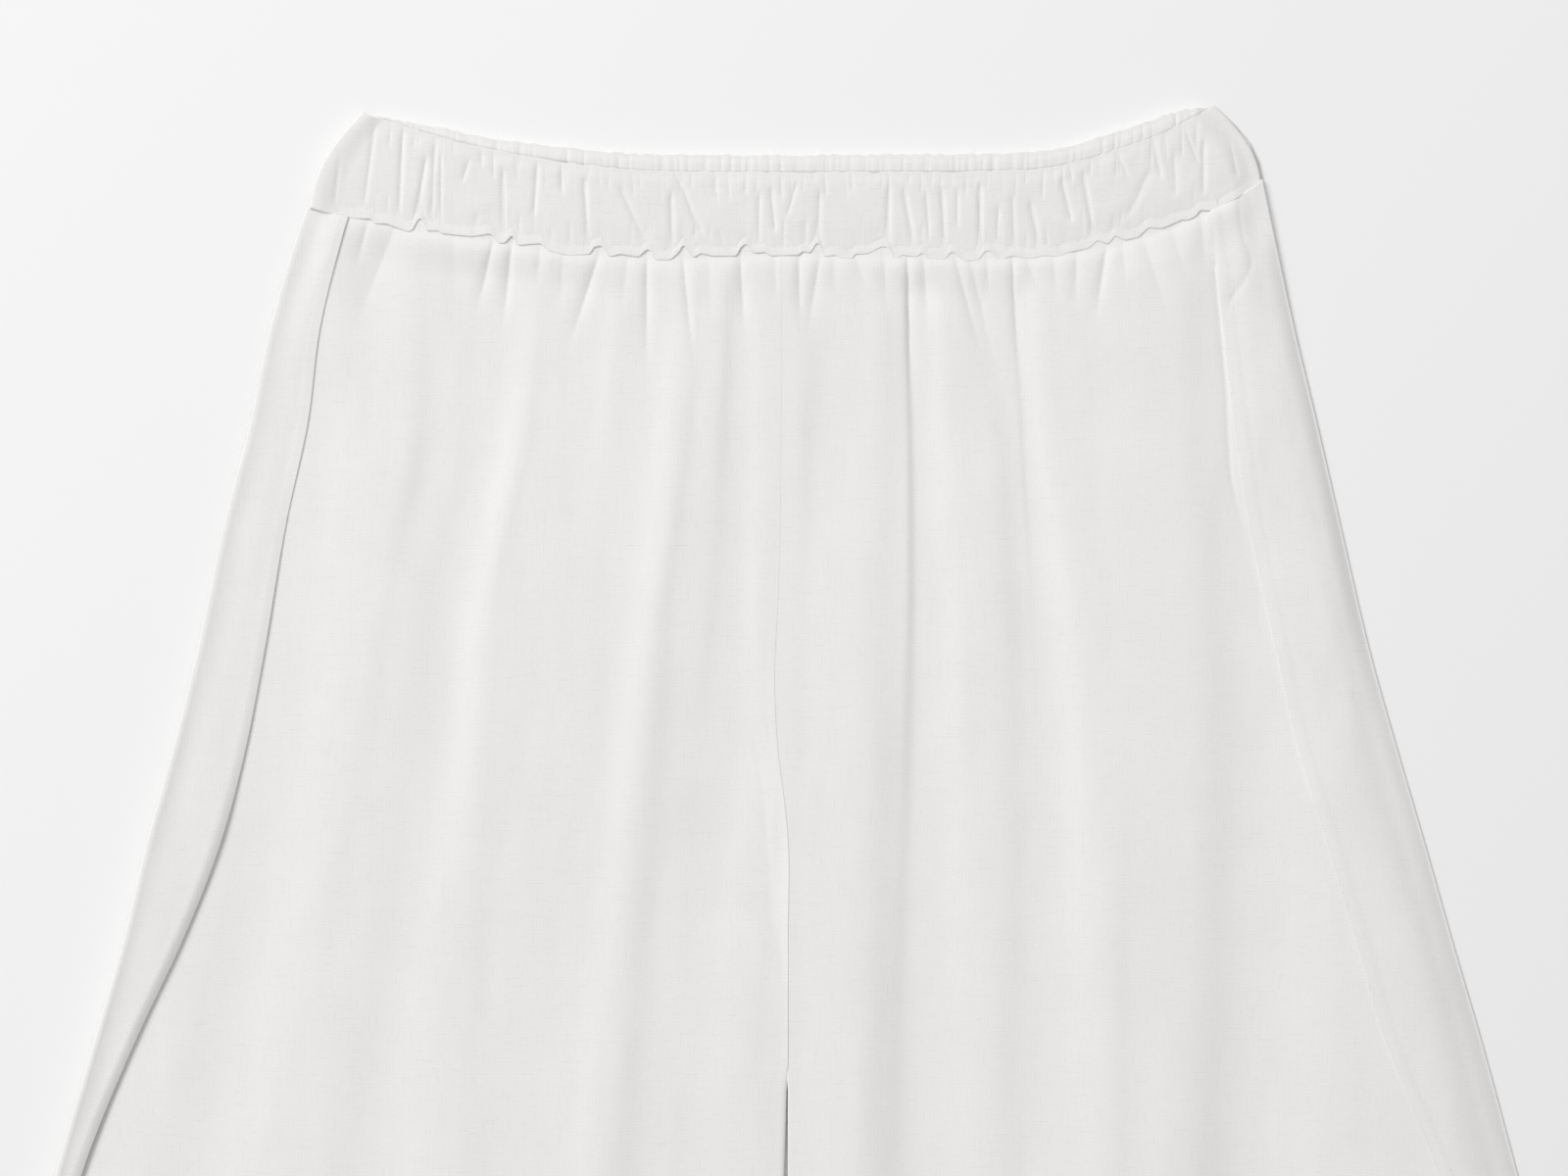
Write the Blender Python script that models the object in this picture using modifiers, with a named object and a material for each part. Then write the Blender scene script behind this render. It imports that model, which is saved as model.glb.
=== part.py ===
"""Split-leg linen trousers laid flat, front side up.

X runs across the garment, Y from hem to waist and Z up from the surface they lie on. The two back
panels and the back half of the gathered waistband rest on that surface, and the two front panels lie
on the back panels. Each side is split from waistband to hem: the back panel turns round the side, and
its hemmed edge lies over the front panel.
"""

import bmesh
import bpy
import numpy as np

MM = 0.001

# Cloth. The walls are thicker than the real linen, so that each piece is a sound solid.
CLOTH = 1.2 * MM
BAND_CLOTH = 1.4 * MM
SEAM_GAP = 0.3 * MM
LAYER_GAP = 0.5 * MM

# Panels
SIDE_TURN = 2.5 * MM  # outer radius of the turn at each side of a back panel
FRONT_INSET = 5.5 * MM  # from the turned side to the edge of the front panel inside it
FRONT_TUCK = 6.5 * MM  # of the front panel, up behind the waistband
SIDE_LIFT = 0.8 * MM  # how much higher the front panel lies at its side than in the middle
BAND_LIFT = 0.3 * MM  # the same at the waistband
LEVEL_EDGE = 5.5 * MM  # width of the level cloth along the middle seam and the inseam
GATHER_RISE = 1.7 * MM  # of the puffs that hang from the waistband
GATHER_SEAM_RISE = 0.55 * MM
GATHER_FADE = 52 * MM
CROTCH_Y = 172 * MM
LEG_GAP = 14 * MM  # from the middle to each leg at the hem
HEM_Y = -520 * MM
HEM_CURVE = 22 * MM  # how much higher the hem is at the side

# Waistband
BAND_TURN = 2.7 * MM  # outer radius of the turn at each side
BAND_UNDER = 2 * BAND_TURN - BAND_CLOTH  # height of the front half's inner face
BAND_FAN = 48 * MM  # from each side, the stretch whose folds lean with it
BAND_PUFF = 1.5 * MM  # of the front half's gathers
BACK_PUFF = 1.0 * MM
RIM_RISE = 0.4 * MM  # of the raised rim under the elastic
NOTCH_WIDTH = 2.2 * MM
SMALL_GATHER = 6.6 * MM  # usual space between the small gathers
BACK_GATHER = 7.2 * MM

# Resolution
FRONT_ROWS, FRONT_COLUMNS = 24, 35
BACK_ROWS, BACK_COLUMNS = 24, 15
TURN_STEPS, STRIP_STEPS = 6, 4
PUFF_STEPS = {"front": 4, "back": 3}  # columns from one fold of the waistband to the next
ROW_CROWDING = 1.6  # rows are closer together near the waistband
COLUMN_CROWDING = 0.75  # a back panel's columns are closer together near its side

LINEN = (0.86, 0.86, 0.83)
LINEN_ROUGHNESS = 0.9


def table(names, rows):
    """One array for each named column: a share as written, and anything else from millimetres."""
    columns = zip(names.split(), np.array(rows, float).T)
    return {name: column * (1 if name.endswith("share") else MM) for name, column in columns}


# Sides of the laid-out garment, and how far each back panel lies over the front.
SIDES = table(
    "y     left    right  left_over  right_over  left_stands",
    [
        (-520, -429.0, 429.0, 16.0, 34.0, 1.5),
        (-330, -393.0, 393.0, 14.0, 32.0, 2.0),
        (-140, -355.0, 355.0, 12.0, 31.0, 2.2),
        (0, -323.5, 323.5, 11.0, 31.5, 2.4),
        (83, -301.9, 301.8, 10.8, 33.8, 2.5),
        (134, -287.0, 288.0, 15.0, 41.0, 2.4),
        (173, -275.7, 276.6, 23.6, 40.5, 2.2),
        (212, -266.4, 265.6, 29.5, 41.0, 1.6),
        (251, -255.8, 254.2, 29.0, 41.8, 1.0),
        (290, -246.0, 243.2, 27.0, 39.5, 0.5),
        (349, -233.4, 229.4, 24.6, 38.0, 0.2),
        (388, -223.2, 220.4, 22.4, 34.5, 0.0),
        (427, -215.1, 211.0, 19.3, 30.0, 0.0),
        (466, -203.7, 202.5, 18.4, 26.8, 0.0),
        (490, -195.2, 197.4, 18.0, 26.0, 0.0),
    ],
)

# The line where the waistband is sewn on, without its notches.
SEAM = table(
    "x     y",
    [
        (-199, 478.4),
        (-163, 469.5),
        (-115, 462.0),
        (-80, 457.8),
        (-46, 455.9),
        (-14, 457.4),
        (40, 456.9),
        (86, 455.9),
        (112, 457.6),
        (147, 464.6),
        (165, 469.0),
        (182, 477.2),
        (199, 489.0),
    ],
)

# The top of the back half, and how far below it the front half ends.
TOP = table(
    "x     y      drop",
    [
        (-177, 516.5, 0.0),
        (-148, 511.2, 3.2),
        (-119, 505.5, 5.0),
        (-91, 502.2, 6.0),
        (-62, 499.8, 7.0),
        (-34, 499.4, 7.4),
        (37, 499.4, 7.4),
        (80, 499.8, 7.2),
        (108, 501.2, 7.2),
        (137, 508.8, 7.0),
        (165, 518.1, 5.0),
        (178, 520.0, 0.0),
    ],
)

# Sides of the waistband: where the line leaves the seam, where it ends and how far it bows out.
BAND_SIDES = {"left": (-198.5 * MM, -177.0 * MM, -4.6 * MM), "right": (197.5 * MM, 178.0 * MM, 4.5 * MM)}

# Deep folds of the gathered waistband. x is taken halfway up, lean is how far the top lies to the
# right of the foot, deep_share is a share of the puff, and notch is how far the fold pulls up the rim.
BAND_FOLDS = table(
    "x     lean deep_share notch",
    [
        (-188.6, 0.0, 0.4, 0.0),
        (-174.4, 0.0, 0.6, 1.0),
        (-160.6, 0.0, 1.0, 1.5),
        (-151.2, 0.0, 0.9, 0.0),
        (-129.6, 0.0, 0.5, 2.0),
        (-115.4, 0.0, 1.0, 4.0),
        (-104.0, 1.0, 0.5, 0.0),
        (-81.0, 0.0, 0.9, 4.0),
        (-62.1, -4.0, 0.8, 3.5),
        (-45.8, 0.0, 1.0, 5.0),
        (-32.4, -10.0, 0.7, 0.0),
        (-17.3, 0.0, 0.6, 4.5),
        (-8.0, 3.0, 0.6, 0.0),
        (13.6, 0.0, 1.0, 4.8),
        (27.0, 0.0, 0.4, 0.0),
        (42.1, 0.0, 1.0, 4.5),
        (51.5, 0.0, 0.7, 0.0),
        (58.0, 0.0, 0.8, 4.0),
        (70.0, 0.0, 0.8, 3.5),
        (80.8, -2.0, 1.0, 4.2),
        (92.6, 0.0, 0.6, 0.0),
        (104.4, -4.8, 0.5, 0.0),
        (116.6, -3.6, 0.7, 1.5),
        (126.4, -3.6, 1.0, 3.0),
        (139.0, -4.0, 0.6, 2.0),
        (158.5, 0.0, 0.7, 1.5),
        (173.6, 0.0, 1.0, 2.5),
        (187.0, 2.0, 0.9, 0.0),
    ],
)

# Long soft folds of the front panels. y is where the crest is measured, and each row gives the crest
# at those heights, then its reach to the left and right, and its height at the top and at the hem.
FOLD_Y = np.array([-520, 90, 240, 360, 445]) * MM
FOLDS = table(
    "hem    low     middle  high    top     left  right  rise  hem_rise",
    [
        (-318, -209.0, -187.0, -165.0, -160.0, 30, 24, 2.4, 3.6),
        (-205, -141.0, -131.0, -115.0, -106.0, 15, 18, 3.3, 4.0),
        (-140, -104.0, -96.0, -79.0, -73.0, 12, 12, 1.0, 2.2),
        (-104, -77.5, -62.0, -49.5, -42.0, 17, 13, 4.0, 4.4),
        (-48, -15.0, -12.0, -11.0, -11.0, 12, 9, 2.4, 3.6),
        (58, 24.0, 27.0, 28.0, 28.0, 24, 19, 3.0, 3.8),
        (122, 81.0, 83.0, 78.0, 74.0, 16, 17, 3.8, 4.2),
        (192, 131.5, 128.0, 115.0, 107.0, 19, 17, 3.8, 4.4),
        (258, 162.0, 159.0, 154.0, 151.0, 17, 20, 1.8, 2.8),
        (336, 240.0, 217.0, 195.0, 183.0, 19, 17, 1.6, 3.4),
    ],
)
HEM_WIDENING = 1.5  # of a fold's reach between the top and the hem


def smooth_read(known, values, at):
    """Values at the places given: a cubic through the known points, level with their neighbours."""
    slope = np.gradient(values, known)
    at = np.clip(at, known[0], known[-1])
    i = np.clip(np.searchsorted(known, at) - 1, 0, len(known) - 2)
    step = known[i + 1] - known[i]
    t = (at - known[i]) / step
    start = values[i] * (1 + 2 * t) * (1 - t) ** 2 + slope[i] * step * t * (1 - t) ** 2
    end = values[i + 1] * (3 - 2 * t) * t**2 - slope[i + 1] * step * (1 - t) * t**2
    return start + end


def ease(low, high, value):
    """0 up to low, 1 from high on, and a soft step between them."""
    t = np.clip((value - low) / (high - low), 0, 1)
    return t * t * (3 - 2 * t)


def side_x(side, y):
    return smooth_read(SIDES["y"], SIDES[side], y)


def seam_y(x):
    return smooth_read(SEAM["x"], SEAM["y"], x)


def inner_x(y):
    """Distance from the middle to the inner edge of a panel: a seam above the crotch, a leg gap below."""
    below = np.clip((CROTCH_Y - y) / (CROTCH_Y - HEM_Y), 0, 1)
    return SEAM_GAP / 2 + LEG_GAP * below**1.5


def panel_y(x, share, tuck):
    """Height of a point of a panel. share is 0 at the hem and 1 at the top edge."""
    hem = HEM_Y + HEM_CURVE * (x / SIDES["right"][0]) ** 2
    return hem + share * (seam_y(x) + tuck - hem)


def row_shares(count):
    """Shares for panel_y, from hem to top."""
    return 1 - np.linspace(1, 0, count + 1) ** ROW_CROWDING


def puffs(x, folds, depths):
    """Puffed cloth between deep folds: 0 in a fold, up to 1 between two."""
    i = np.clip(np.searchsorted(folds, x) - 1, 0, len(folds) - 2)
    width = folds[i + 1] - folds[i]
    t = np.clip((x - folds[i]) / width, 0, 1)
    rise = np.sin(np.pi * t) ** 0.8
    floor = 1 - (depths[i] * (1 - t) + depths[i + 1] * t)
    return floor + (1 - floor) * rise


def fold_height(x, y):
    """Height of the long folds over the cloth between them."""
    down = np.clip((FOLD_Y[-1] - y) / (FOLD_Y[-1] - FOLD_Y[0]), 0, 1)
    total = np.zeros_like(x)
    for k in range(len(FOLDS["rise"])):
        crest = np.array([FOLDS[name][k] for name in "hem low middle high top".split()])
        off = x - smooth_read(FOLD_Y, crest, y)
        reach = np.where(off < 0, FOLDS["left"][k], FOLDS["right"][k])
        reach = reach * (1 + (HEM_WIDENING - 1) * down)
        rise = FOLDS["rise"][k] + (FOLDS["hem_rise"][k] - FOLDS["rise"][k]) * down
        total += rise * np.cos(np.clip(off / reach, -1, 1) * np.pi / 2) ** 2
    return total


def front_under(side, x, y):
    """Height of a front panel's lower face: base, long folds and the gathers below the waistband."""
    below = seam_y(x) - y
    from_side = np.abs(side_x(side, y) - x)
    from_middle = np.abs(x) - inner_x(y)
    base = CLOTH + SEAM_GAP
    base = base + SIDE_LIFT * (1 - ease(FRONT_INSET, 32 * MM, from_side))
    base = base + BAND_LIFT * (1 - ease(0, 20 * MM, below))
    folds = fold_height(x, y) * ease(2 * MM, 70 * MM, below)
    folds = folds * ease(LEVEL_EDGE, 13 * MM, from_middle) * ease(10 * MM, 30 * MM, from_side)
    rise = GATHER_SEAM_RISE + (GATHER_RISE - GATHER_SEAM_RISE) * ease(0, 9 * MM, below)
    rise = rise * (1 - ease(9 * MM, GATHER_FADE, below))
    notched = BAND_FOLDS["notch"] > 0
    gathers = puffs(x, BAND_FOLDS["x"][notched], BAND_FOLDS["deep_share"][notched])
    gathers = gathers * ease(LEVEL_EDGE, 12 * MM, from_middle) * ease(8 * MM, 24 * MM, from_side)
    return base + folds + rise * gathers


def front_grid(side):
    """Points of a front panel's lower face, from hem to top and from left to right."""
    sign = 1 if side == "right" else -1
    across = np.linspace(0, 1, FRONT_COLUMNS + 1)[:: 1 if sign > 0 else -1]
    share = row_shares(FRONT_ROWS)[:, None]
    x = sign * 100 * MM * np.ones((FRONT_ROWS + 1, FRONT_COLUMNS + 1))
    for _ in range(3):
        y = panel_y(x, share, FRONT_TUCK)
        outer = side_x(side, y) - sign * FRONT_INSET
        inner = sign * inner_x(y)
        x = inner + (outer - inner) * across
    return np.stack([x, y, front_under(side, x, y)], axis=-1)


def strip_top(side, x, y, from_turn):
    """Height of the upper face where a back panel lies over the front. from_turn is 0 to 1."""
    resting = front_under(side, x, y) + CLOTH + LAYER_GAP + CLOTH
    stands = smooth_read(SIDES["y"], SIDES["left_stands"], y) if side == "left" else 0
    over = np.maximum(resting, 2 * SIDE_TURN) + stands * from_turn**1.5
    return over + (2 * SIDE_TURN - over) * (1 - ease(0, 0.25, from_turn))


def back_grid(side):
    """Points of a back panel's outer face: along the surface, round the side and over the front."""
    sign = 1 if side == "right" else -1
    share = row_shares(BACK_ROWS)
    flat = np.linspace(0, 1, BACK_COLUMNS + 1) ** COLUMN_CROWDING
    turn = np.linspace(-np.pi / 2, np.pi / 2, TURN_STEPS + 1)[1:]
    over = np.linspace(0, 1, STRIP_STEPS + 1)[1:]
    columns = []
    for kind, t in [("flat", t) for t in flat] + [("turn", t) for t in turn] + [("over", t) for t in over]:
        x = np.full(BACK_ROWS + 1, sign * 150 * MM)
        for _ in range(3):
            y = panel_y(x, share, -SEAM_GAP)
            centre = side_x(side, y) - sign * SIDE_TURN
            if kind == "flat":
                x = sign * inner_x(y) + (centre - sign * inner_x(y)) * t
                z = np.zeros_like(x)
            elif kind == "turn":
                x = centre + sign * SIDE_TURN * np.cos(t)
                z = SIDE_TURN + SIDE_TURN * np.sin(t) * np.ones_like(x)
            else:
                width = smooth_read(SIDES["y"], SIDES[side + "_over"], y) - SIDE_TURN
                x = centre - sign * width * t
                z = strip_top(side, x, y, t)
        columns.append(np.stack([x, y, z], axis=-1))
    return np.stack(columns[::sign], axis=1)


def gather_folds():
    """x, lean and depth of every fold of the front half: the deep ones and small ones between."""
    rows = []
    deep = BAND_FOLDS
    for k in range(len(deep["x"]) - 1):
        width = deep["x"][k + 1] - deep["x"][k]
        count = max(1, round(width / SMALL_GATHER))
        rows.append((deep["x"][k], deep["lean"][k], deep["deep_share"][k]))
        for j in range(1, count):
            t = j / count + 0.08 * np.sin(2.3 * k + 1.9 * j)
            lean = deep["lean"][k] * (1 - t) + deep["lean"][k + 1] * t
            depth = 0.40 + 0.18 * np.sin(3.1 * k + 2.2 * j)
            rows.append((deep["x"][k] + t * width, lean, depth))
    rows.append((deep["x"][-1], deep["lean"][-1], deep["deep_share"][-1]))
    return np.array(rows).T


def back_folds():
    """x, lean and depth of the folds of the back half, uneven but with no deep ones."""
    left, right = BAND_SIDES["left"][1] + BAND_TURN, BAND_SIDES["right"][1] - BAND_TURN
    count = round((right - left) / BACK_GATHER)
    k = np.arange(1, count)
    x = left + (right - left) * (k + 0.22 * np.sin(2.7 * k) + 0.12 * np.sin(1.3 * k)) / count
    return np.stack([x, 0 * x, 0.75 + 0.2 * np.sin(1.7 * k)])


def band_side(side, v):
    foot, end, bow = BAND_SIDES[side]
    return foot + (end - foot) * v + bow * np.sin(np.pi * v)


def band_columns(folds, steps):
    """Places across the waistband, from 0 to 1: each end, each fold and the steps between them."""
    left, right = band_side("left", 0.5), band_side("right", 0.5)
    inset = BAND_TURN / (right - left)
    knots = np.concatenate([[inset], (folds - left) / (right - left), [1 - inset]])
    between = [np.linspace(a, b, steps, endpoint=False) for a, b in zip(knots[:-1], knots[1:])]
    return np.concatenate([*between, [knots[-1]]])


def notch_y(x):
    """How far the deep folds pull up the rim of the front half."""
    pulls = BAND_FOLDS["notch"] * np.exp(-(((x[..., None] - BAND_FOLDS["x"]) / NOTCH_WIDTH) ** 2))
    return pulls.sum(axis=-1)


def band_xy(across, v, lean, front):
    """Place of a waistband point, across from 0 to 1 and v from foot to top.

    The sides slope, and the cloth beside them follows until it stands straight at BAND_FAN.
    """
    left, right = band_side("left", 0.5), band_side("right", 0.5)
    middle_x = left + (right - left) * across
    left_pull = 1 - ease(0, BAND_FAN, middle_x - left)
    right_pull = 1 - ease(0, BAND_FAN, right - middle_x)

    def at_height(level):
        shift = (band_side("left", level) - left) * left_pull
        return middle_x + shift + (band_side("right", level) - right) * right_pull

    foot = seam_y(at_height(0)) + (notch_y(middle_x) if front else 0)
    top = smooth_read(TOP["x"], TOP["y"], at_height(1))
    if front:
        top = top - smooth_read(TOP["x"], TOP["drop"], at_height(1))
    return at_height(v) + lean * (v - 0.5), foot + (top - foot) * v


def band_turn(side, v, angle, radius, front):
    """Points round the side of the waistband, at the angles given, counted from the outermost line."""
    sign = 1 if side == "right" else -1
    x, y = band_xy(np.array(1.0 if sign > 0 else 0.0), v, 0, front)
    x = x - sign * BAND_TURN + sign * radius * np.cos(angle)
    return x, y + 0 * angle, BAND_TURN + radius * np.sin(angle)


def band_face(folds, v_rows, height, radius, front):
    """One face of half the waistband as a grid of points. height(x, v) is its height when flat."""
    places, leans, _ = folds
    across = band_columns(places, PUFF_STEPS["front" if front else "back"])
    left, right = band_side("left", 0.5), band_side("right", 0.5)
    middle_x = left + (right - left) * across
    lean = np.interp(middle_x, places, leans, left=0, right=0)
    lift = SEAM_GAP / 2 / radius
    angles = np.linspace(lift, np.pi / 2, 4)[:-1]
    if not front:
        angles = -angles
    rows = []
    for v in v_rows:
        x, y = band_xy(across, v, lean, front)
        z = height(middle_x, v)
        flat = np.stack([x, y, z], axis=-1)
        start = np.stack(band_turn("left", v, angles, radius, front), axis=-1)
        end = np.stack(band_turn("right", v, angles[::-1], radius, front), axis=-1)
        rows.append(np.concatenate([start, flat, end]))
    return np.array(rows)


def band_front_faces():
    """Outer and inner face of the front half. The outer one is gathered and the inner one plain."""
    folds = gather_folds()
    v_rows = (0, 0.12, 0.22, 0.4, 0.82, 1)
    puff_share = (0.45, 0.8, 0.3, 1.0, 0.95, 0.2)
    rim_share = (0.6, 1.0, 0.0, 0.0, 0.0, 0.0)

    def outer(x, v):
        near_side = ease(0, 8 * MM, x - x[0]) * ease(0, 8 * MM, x[-1] - x)
        puff = BAND_PUFF * np.interp(v, v_rows, puff_share) * puffs(x, folds[0], folds[2])
        return 2 * BAND_TURN + near_side * (puff + RIM_RISE * np.interp(v, v_rows, rim_share))

    def inner(x, v):
        return np.full_like(x, BAND_UNDER)

    outside = band_face(folds, v_rows, outer, BAND_TURN, True)
    inside = band_face(folds, (0, 1), inner, BAND_TURN - BAND_CLOTH, True)
    return outside, inside


def band_back_faces():
    """Lower and upper face of the back half. The lower one rests and is flat."""
    folds = back_folds()

    def lower(x, v):
        return np.zeros_like(x)

    def upper(x, v):
        near_side = ease(0, 8 * MM, x - x[0]) * ease(0, 8 * MM, x[-1] - x)
        return BAND_CLOTH + near_side * BACK_PUFF * ease(0.3, 0.7, v) * puffs(x, folds[0], folds[2])

    outside = band_face(folds, (0, 1), lower, BAND_TURN, False)
    inside = band_face(folds, (0, 0.45, 0.8, 1), upper, BAND_TURN - BAND_CLOTH, False)
    return outside, inside


def linen(name):
    """Undyed white linen, dull and a little warm."""
    material = bpy.data.materials.new(name)
    material.use_nodes = True
    shader = material.node_tree.nodes["Principled BSDF"]
    shader.inputs["Base Color"].default_value = (*LINEN, 1)
    shader.inputs["Roughness"].default_value = LINEN_ROUGHNESS
    shader.inputs["Metallic"].default_value = 0
    material.diffuse_color = (*LINEN, 1)
    return material


def grid_faces(rows, columns, first=0):
    """Four-sided faces of a grid of points that are numbered row by row from first."""
    corner = first + np.arange(rows - 1)[:, None] * columns + np.arange(columns - 1)
    faces = np.stack([corner, corner + 1, corner + columns + 1, corner + columns], axis=-1)
    return faces.reshape(-1, 4).tolist()


def add_object(name, points, faces, collection):
    mesh = bpy.data.meshes.new(name)
    mesh.from_pydata(points, [], faces)
    mesh.materials.append(linen(name + "_linen"))
    shape = bmesh.new()
    shape.from_mesh(mesh)
    bmesh.ops.recalc_face_normals(shape, faces=shape.faces)
    shape.to_mesh(mesh)
    shape.free()
    mesh.shade_smooth()
    thing = bpy.data.objects.new(name, mesh)
    collection.objects.link(thing)
    return thing


def add_panel(name, grid, collection):
    """A panel from the grid of its lower face. The wall lies above it, which is inside the side's turn."""
    rows, columns = grid.shape[:2]
    mesh = bpy.data.meshes.new(name)
    mesh.from_pydata(grid.reshape(-1, 3).tolist(), [], grid_faces(rows, columns))
    mesh.materials.append(linen(name + "_linen"))
    mesh.shade_smooth()
    thing = bpy.data.objects.new(name, mesh)
    collection.objects.link(thing)
    wall = thing.modifiers.new("Wall", "SOLIDIFY")
    wall.thickness = CLOTH
    wall.offset = 1
    return thing


def add_band_half(name, outside, inside, collection):
    """Half the waistband, as a loft between its outer face and its plainer inner face."""
    rows, columns = outside.shape[:2]
    inner_rows = inside.shape[0]
    first = rows * columns
    last = first + (inner_rows - 1) * columns
    points = np.concatenate([outside.reshape(-1, 3), inside.reshape(-1, 3)])
    faces = grid_faces(rows, columns) + grid_faces(inner_rows, columns, first)
    for k in range(columns - 1):
        faces.append([k, k + 1, first + k + 1, first + k])
        top = (rows - 1) * columns + k
        faces.append([top, top + 1, last + k + 1, last + k])
    for k in (0, columns - 1):
        outer_end = [k + row * columns for row in range(rows)]
        inner_end = [first + k + row * columns for row in range(inner_rows)]
        faces.append(outer_end + inner_end[::-1])
    return add_object(name, points.tolist(), faces, collection)


def main():
    for thing in list(bpy.data.objects):
        bpy.data.objects.remove(thing)
    collection = bpy.data.collections.new("split_leg_trousers")
    bpy.context.scene.collection.children.link(collection)
    for side in ("left", "right"):
        add_panel("back_panel_" + side, back_grid(side), collection)
        add_panel("front_panel_" + side, front_grid(side), collection)
    add_band_half("waistband_front", *band_front_faces(), collection)
    add_band_half("waistband_back", *band_back_faces(), collection)


main()
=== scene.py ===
# %% [markdown]
# # Split leg trousers in washed white linen, laid flat
# Wide trousers lie on a pale table with their front side up. The waistband is a gathered casing over
# elastic, and each side is split from waistband to hem: the hemmed edge of the back panel is laid over
# the front one. The solids of the frame have these shapes at their real size. This lesson puts a fine
# cloth shell in place of each solid, then adds the sewing. Blender and the frame count in metres, but a
# maker counts in millimetres, so the garment does too until its points go into a mesh.

import bpy
import numpy as np
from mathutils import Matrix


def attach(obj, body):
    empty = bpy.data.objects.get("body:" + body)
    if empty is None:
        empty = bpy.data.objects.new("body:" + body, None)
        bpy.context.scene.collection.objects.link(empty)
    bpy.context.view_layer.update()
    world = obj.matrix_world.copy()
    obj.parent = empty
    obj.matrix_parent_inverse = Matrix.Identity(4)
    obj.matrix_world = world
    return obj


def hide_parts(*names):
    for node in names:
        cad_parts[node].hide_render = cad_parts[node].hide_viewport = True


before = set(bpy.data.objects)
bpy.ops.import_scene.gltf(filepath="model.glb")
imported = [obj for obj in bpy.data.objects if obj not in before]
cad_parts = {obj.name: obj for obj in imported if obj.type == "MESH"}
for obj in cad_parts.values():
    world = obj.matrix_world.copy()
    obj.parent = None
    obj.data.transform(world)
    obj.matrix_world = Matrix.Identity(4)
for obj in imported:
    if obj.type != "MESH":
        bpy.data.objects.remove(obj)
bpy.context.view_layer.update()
MM = 0.001

# %% [markdown]
# ## Reading curves
# A garment's edges are soft curves through a few places that a maker would measure. A table keeps those
# places under named columns, and one cubic runs through them. A spline object could do this too, but a
# plain function answers for a whole grid of points at once.

# %% Tables and soft steps
def table(names, rows):
    """One array for each named column. Lengths are in millimetres."""
    return dict(zip(names.split(), np.array(rows, float).T))


def smooth_read(known, values, at):
    """Cubic through the known points. The slope at each is that of the line between its neighbours."""
    slope = np.gradient(values, known)
    at = np.clip(at, known[0], known[-1])
    i = np.clip(np.searchsorted(known, at) - 1, 0, len(known) - 2)
    step = known[i + 1] - known[i]
    t = (at - known[i]) / step
    start = values[i] * (1 + 2 * t) * (1 - t) ** 2 + slope[i] * step * t * (1 - t) ** 2
    end = values[i + 1] * (3 - 2 * t) * t**2 - slope[i + 1] * step * (1 - t) * t**2
    return start + end


def read(columns, name, at, along="y"):
    """The cubic through one column of a table, at any places along another of its columns."""
    return smooth_read(columns[along], columns[name], at)


def joined(x, y, z):
    """One array of points from arrays of their x, y and z."""
    return np.stack([x, y, z], axis=-1)


def ease(low, high, value):
    """0 up to low, 1 from high on, and 3t^2 - 2t^3 between them, where t is the share of the way."""
    t = np.clip((value - low) / (high - low), 0, 1)
    return t * t * (3 - 2 * t)


def bell(off, width):
    """1 where off is 0, falling to a third at width on both sides: e to the power of -(off/width)^2."""
    return np.exp(-((off / width) ** 2))


# %% [markdown]
# Linen that has been washed, folded and laid out by hand is never even. Soft random hills and hollows
# give it that. Here they are chance heights on a lattice with soft steps between them, which is what a
# noise texture does inside a shader, so the same seed gives the same cloth each time.

# %% Unevenness
LATTICE = 256  # corners each way, after which the pattern starts again
LATTICE_START = (91.7, 83.3)  # in lattice steps, so that the middle of the garment lies on no corner


def unevenness(x, y, across, along, seed):
    """Soft hills and hollows from -1 to 1. Each lattice corner, across by along apart, has a chance
    height, and a point takes a mix of its four corners' heights, weighted by soft steps."""
    chance = np.random.default_rng(seed).uniform(-1, 1, (LATTICE, LATTICE))
    u = x / across + LATTICE_START[0]
    v = y / along + LATTICE_START[1]
    i = np.floor(u).astype(int)
    j = np.floor(v).astype(int)
    s = ease(0, 1, u - i)
    t = ease(0, 1, v - j)
    i, j, next_i, next_j = (number % LATTICE for number in (i, j, i + 1, j + 1))
    near = chance[i, j] * (1 - s) + chance[next_i, j] * s
    far = chance[i, next_j] * (1 - s) + chance[next_i, next_j] * s
    return near * (1 - t) + far * t


sample = unevenness(np.linspace(0, 1000, 400), np.linspace(0, 1000, 400), 20, 60, 1)
print("unevenness runs from", round(sample.min(), 2), "to", round(sample.max(), 2))

# %% [markdown]
# ## Camera, table and light
# The garment is seen from straight above, close enough to cut off the legs, which go on below the
# picture. The light is one large soft lamp past the upper left of the picture, in an even white room,
# so each fold has a bright left flank and a grey right one.

# %% Camera
def add_object(name, data):
    """A new object in the scene, at the origin."""
    made = bpy.data.objects.new(name, data)
    bpy.context.scene.collection.objects.link(made)
    return made


VIEW_WIDTH = 651.2 * MM  # of the garment's plane, across the picture
VIEW_CENTRE = (-1.4 * MM, 319.5 * MM)
GARMENT_HEIGHT = 4 * MM  # of the cloth that faces the camera, over the table
LENS = 85
SENSOR = 36

camera_data = bpy.data.cameras.new("camera")
camera_data.lens = LENS
camera_data.sensor_width = SENSOR
camera = add_object("camera", camera_data)
camera.location = (*VIEW_CENTRE, GARMENT_HEIGHT + VIEW_WIDTH * LENS / SENSOR)
bpy.context.scene.camera = camera
print("camera height in m:", round(camera.location.z, 3))


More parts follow.
